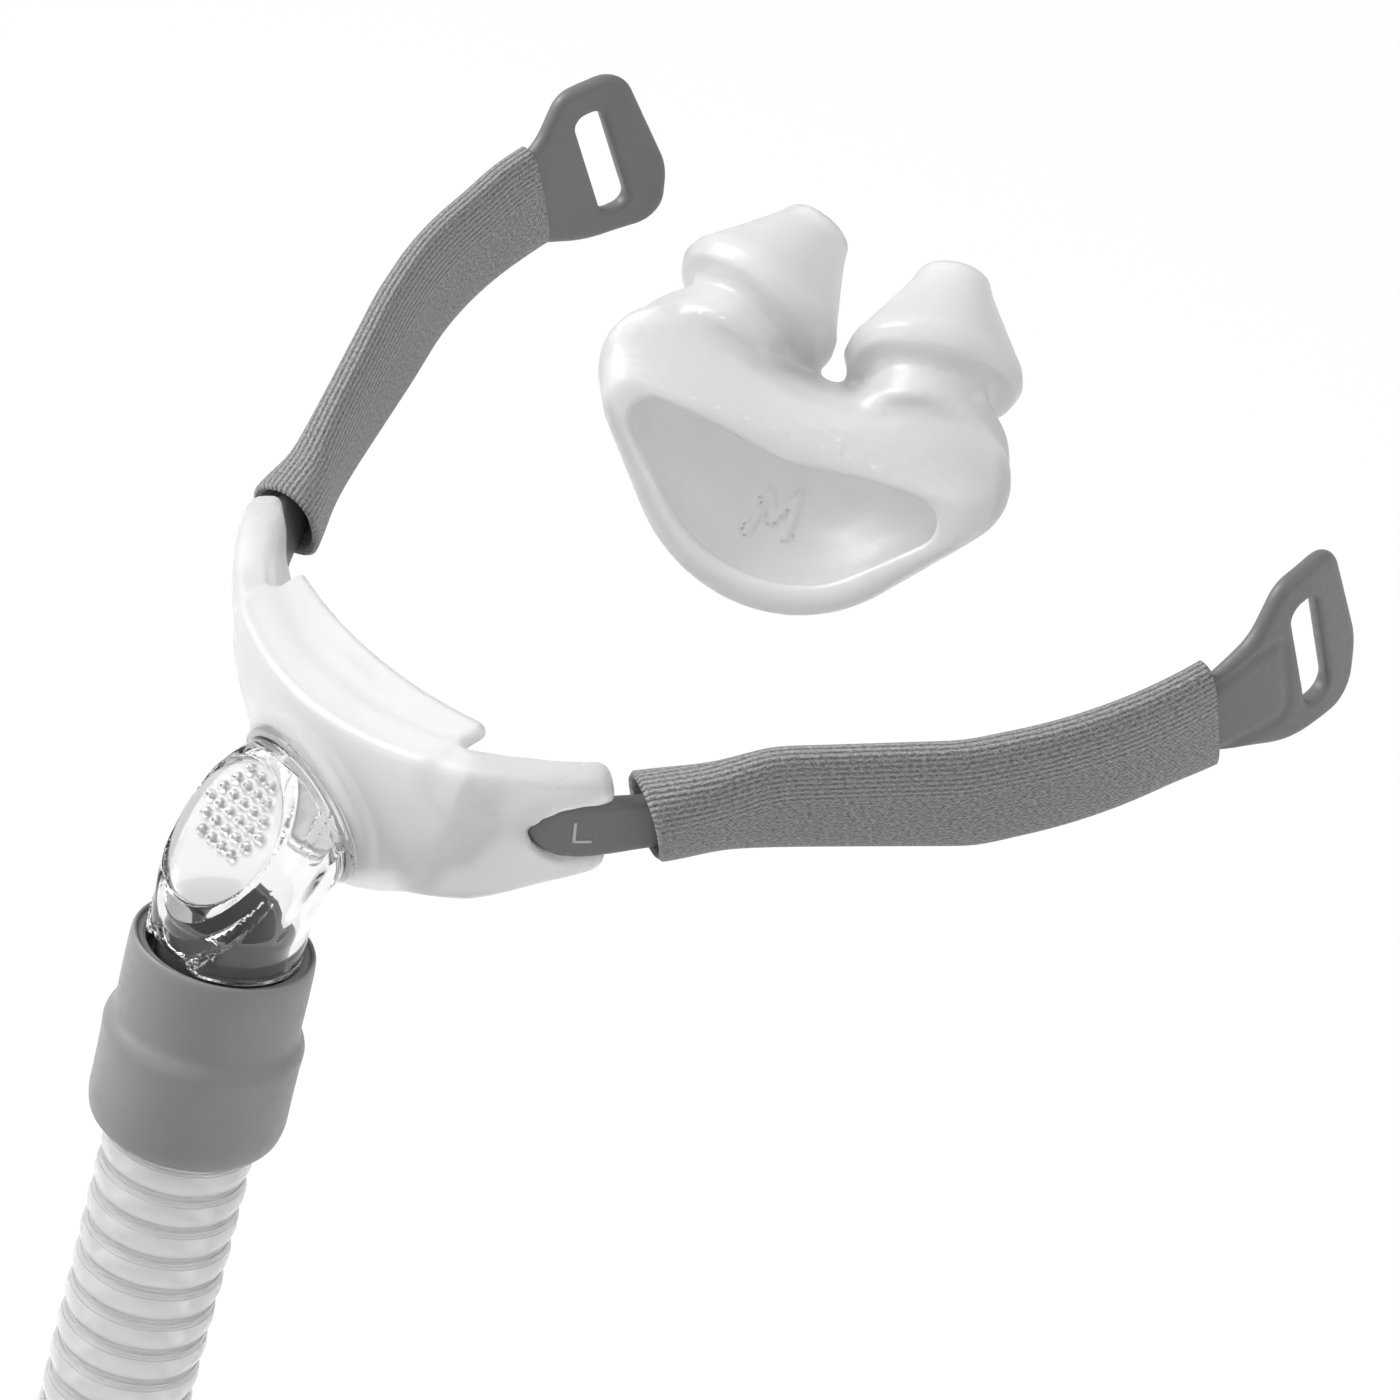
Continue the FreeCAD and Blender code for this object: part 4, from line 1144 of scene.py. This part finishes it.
def build_studio():
    scene = bpy.context.scene
    camera = bpy.data.objects.new("camera", bpy.data.cameras.new("camera"))
    scene.collection.objects.link(camera)
    turn = Matrix([CAMERA_RIGHT, CAMERA_UP, CAMERA_BACK]).transposed()
    camera.matrix_world = Matrix.Translation(Vector(CAMERA_AT) * MM) @ turn.to_4x4()
    camera.data.sensor_width = SENSOR
    camera.data.lens = SENSOR * FOCAL_PIXELS / PHOTO_PIXELS
    camera.data.clip_start = 0.02
    camera.data.clip_end = 50.0
    scene.camera = camera
    scene.view_settings.view_transform = "Standard"
    world = bpy.data.worlds.new("studio")
    world.use_nodes = True
    scene.world = world
    nodes, links = world.node_tree.nodes, world.node_tree.links
    room = nodes["Background"]
    room.inputs["Color"].default_value = (0.93, 0.94, 0.95, 1)
    room.inputs["Strength"].default_value = ROOM_STRENGTH
    white = nodes.new("ShaderNodeBackground")
    white.inputs["Color"].default_value = (1, 1, 1, 1)
    path = nodes.new("ShaderNodeLightPath")
    mix = nodes.new("ShaderNodeMixShader")
    seen = math_node(nodes, "MAXIMUM", path.outputs["Is Camera Ray"], path.outputs["Is Transmission Ray"])
    links.new(seen, mix.inputs["Fac"])
    links.new(room.outputs[0], mix.inputs[1])
    links.new(white.outputs[0], mix.inputs[2])
    links.new(mix.outputs[0], nodes["World Output"].inputs["Surface"])
    build_floor()
    centre = Vector((0.0, 0.02, -0.02))
    for name, way, distance, size, power in LAMPS:
        light = bpy.data.lights.new(name, "AREA")
        light.shape = "SQUARE"
        light.size = size
        light.energy = power
        lamp = bpy.data.objects.new(name, light)
        scene.collection.objects.link(lamp)
        axis = Vector(CAMERA_RIGHT) * way[0] + Vector(CAMERA_UP) * way[1] + Vector(CAMERA_BACK) * way[2]
        axis.normalize()
        lamp.location = centre + axis * distance
        lamp.rotation_mode = "QUATERNION"
        lamp.rotation_quaternion = axis.to_track_quat("Z", "Y")


def build_floor():
    size = 6.0
    z = cad_low.z - 0.002
    mesh = bpy.data.meshes.new("floor")
    corners = [(-size, -size, z), (size, -size, z), (size, size, z), (-size, size, z)]
    mesh.from_pydata(corners, [], [(0, 1, 2, 3)])
    floor = bpy.data.objects.new("floor", mesh)
    bpy.context.scene.collection.objects.link(floor)
    mat = bpy.data.materials.new("floor")
    mat.use_nodes = True
    nodes, links = mat.node_tree.nodes, mat.node_tree.links
    shader = nodes["Principled BSDF"]
    shader.inputs["Base Color"].default_value = (0.9, 0.9, 0.9, 1)
    shader.inputs["Roughness"].default_value = 0.9
    glow = nodes.new("ShaderNodeEmission")
    glow.inputs["Strength"].default_value = 1.0
    path = nodes.new("ShaderNodeLightPath")
    seen = math_node(nodes, "MAXIMUM", path.outputs["Is Camera Ray"], path.outputs["Is Transmission Ray"])
    share = math_node(nodes, "MULTIPLY", seen, FLOOR_GLOW)
    mix = nodes.new("ShaderNodeMixShader")
    links.new(share, mix.inputs["Fac"])
    links.new(shader.outputs[0], mix.inputs[1])
    links.new(glow.outputs[0], mix.inputs[2])
    links.new(mix.outputs[0], nodes["Material Output"].inputs["Surface"])
    mesh.materials.append(mat)


build_frame()
for side, sag in SAGS.items():
    build_arm(side, sag)
build_elbow()
far_pieces = build_turned()
build_hose()
for side, sag in SAGS.items():
    build_sleeve(side, sag)
build_cushion()
for name, strokes, side in (("mark_left", MARK_L, 1), ("mark_right", MARK_R, -1)):
    build_mark(name, strokes, side, MARK_TURN, MARK_HEIGHT, MARK_SIZE, MARK_WIDTH)
build_studio()
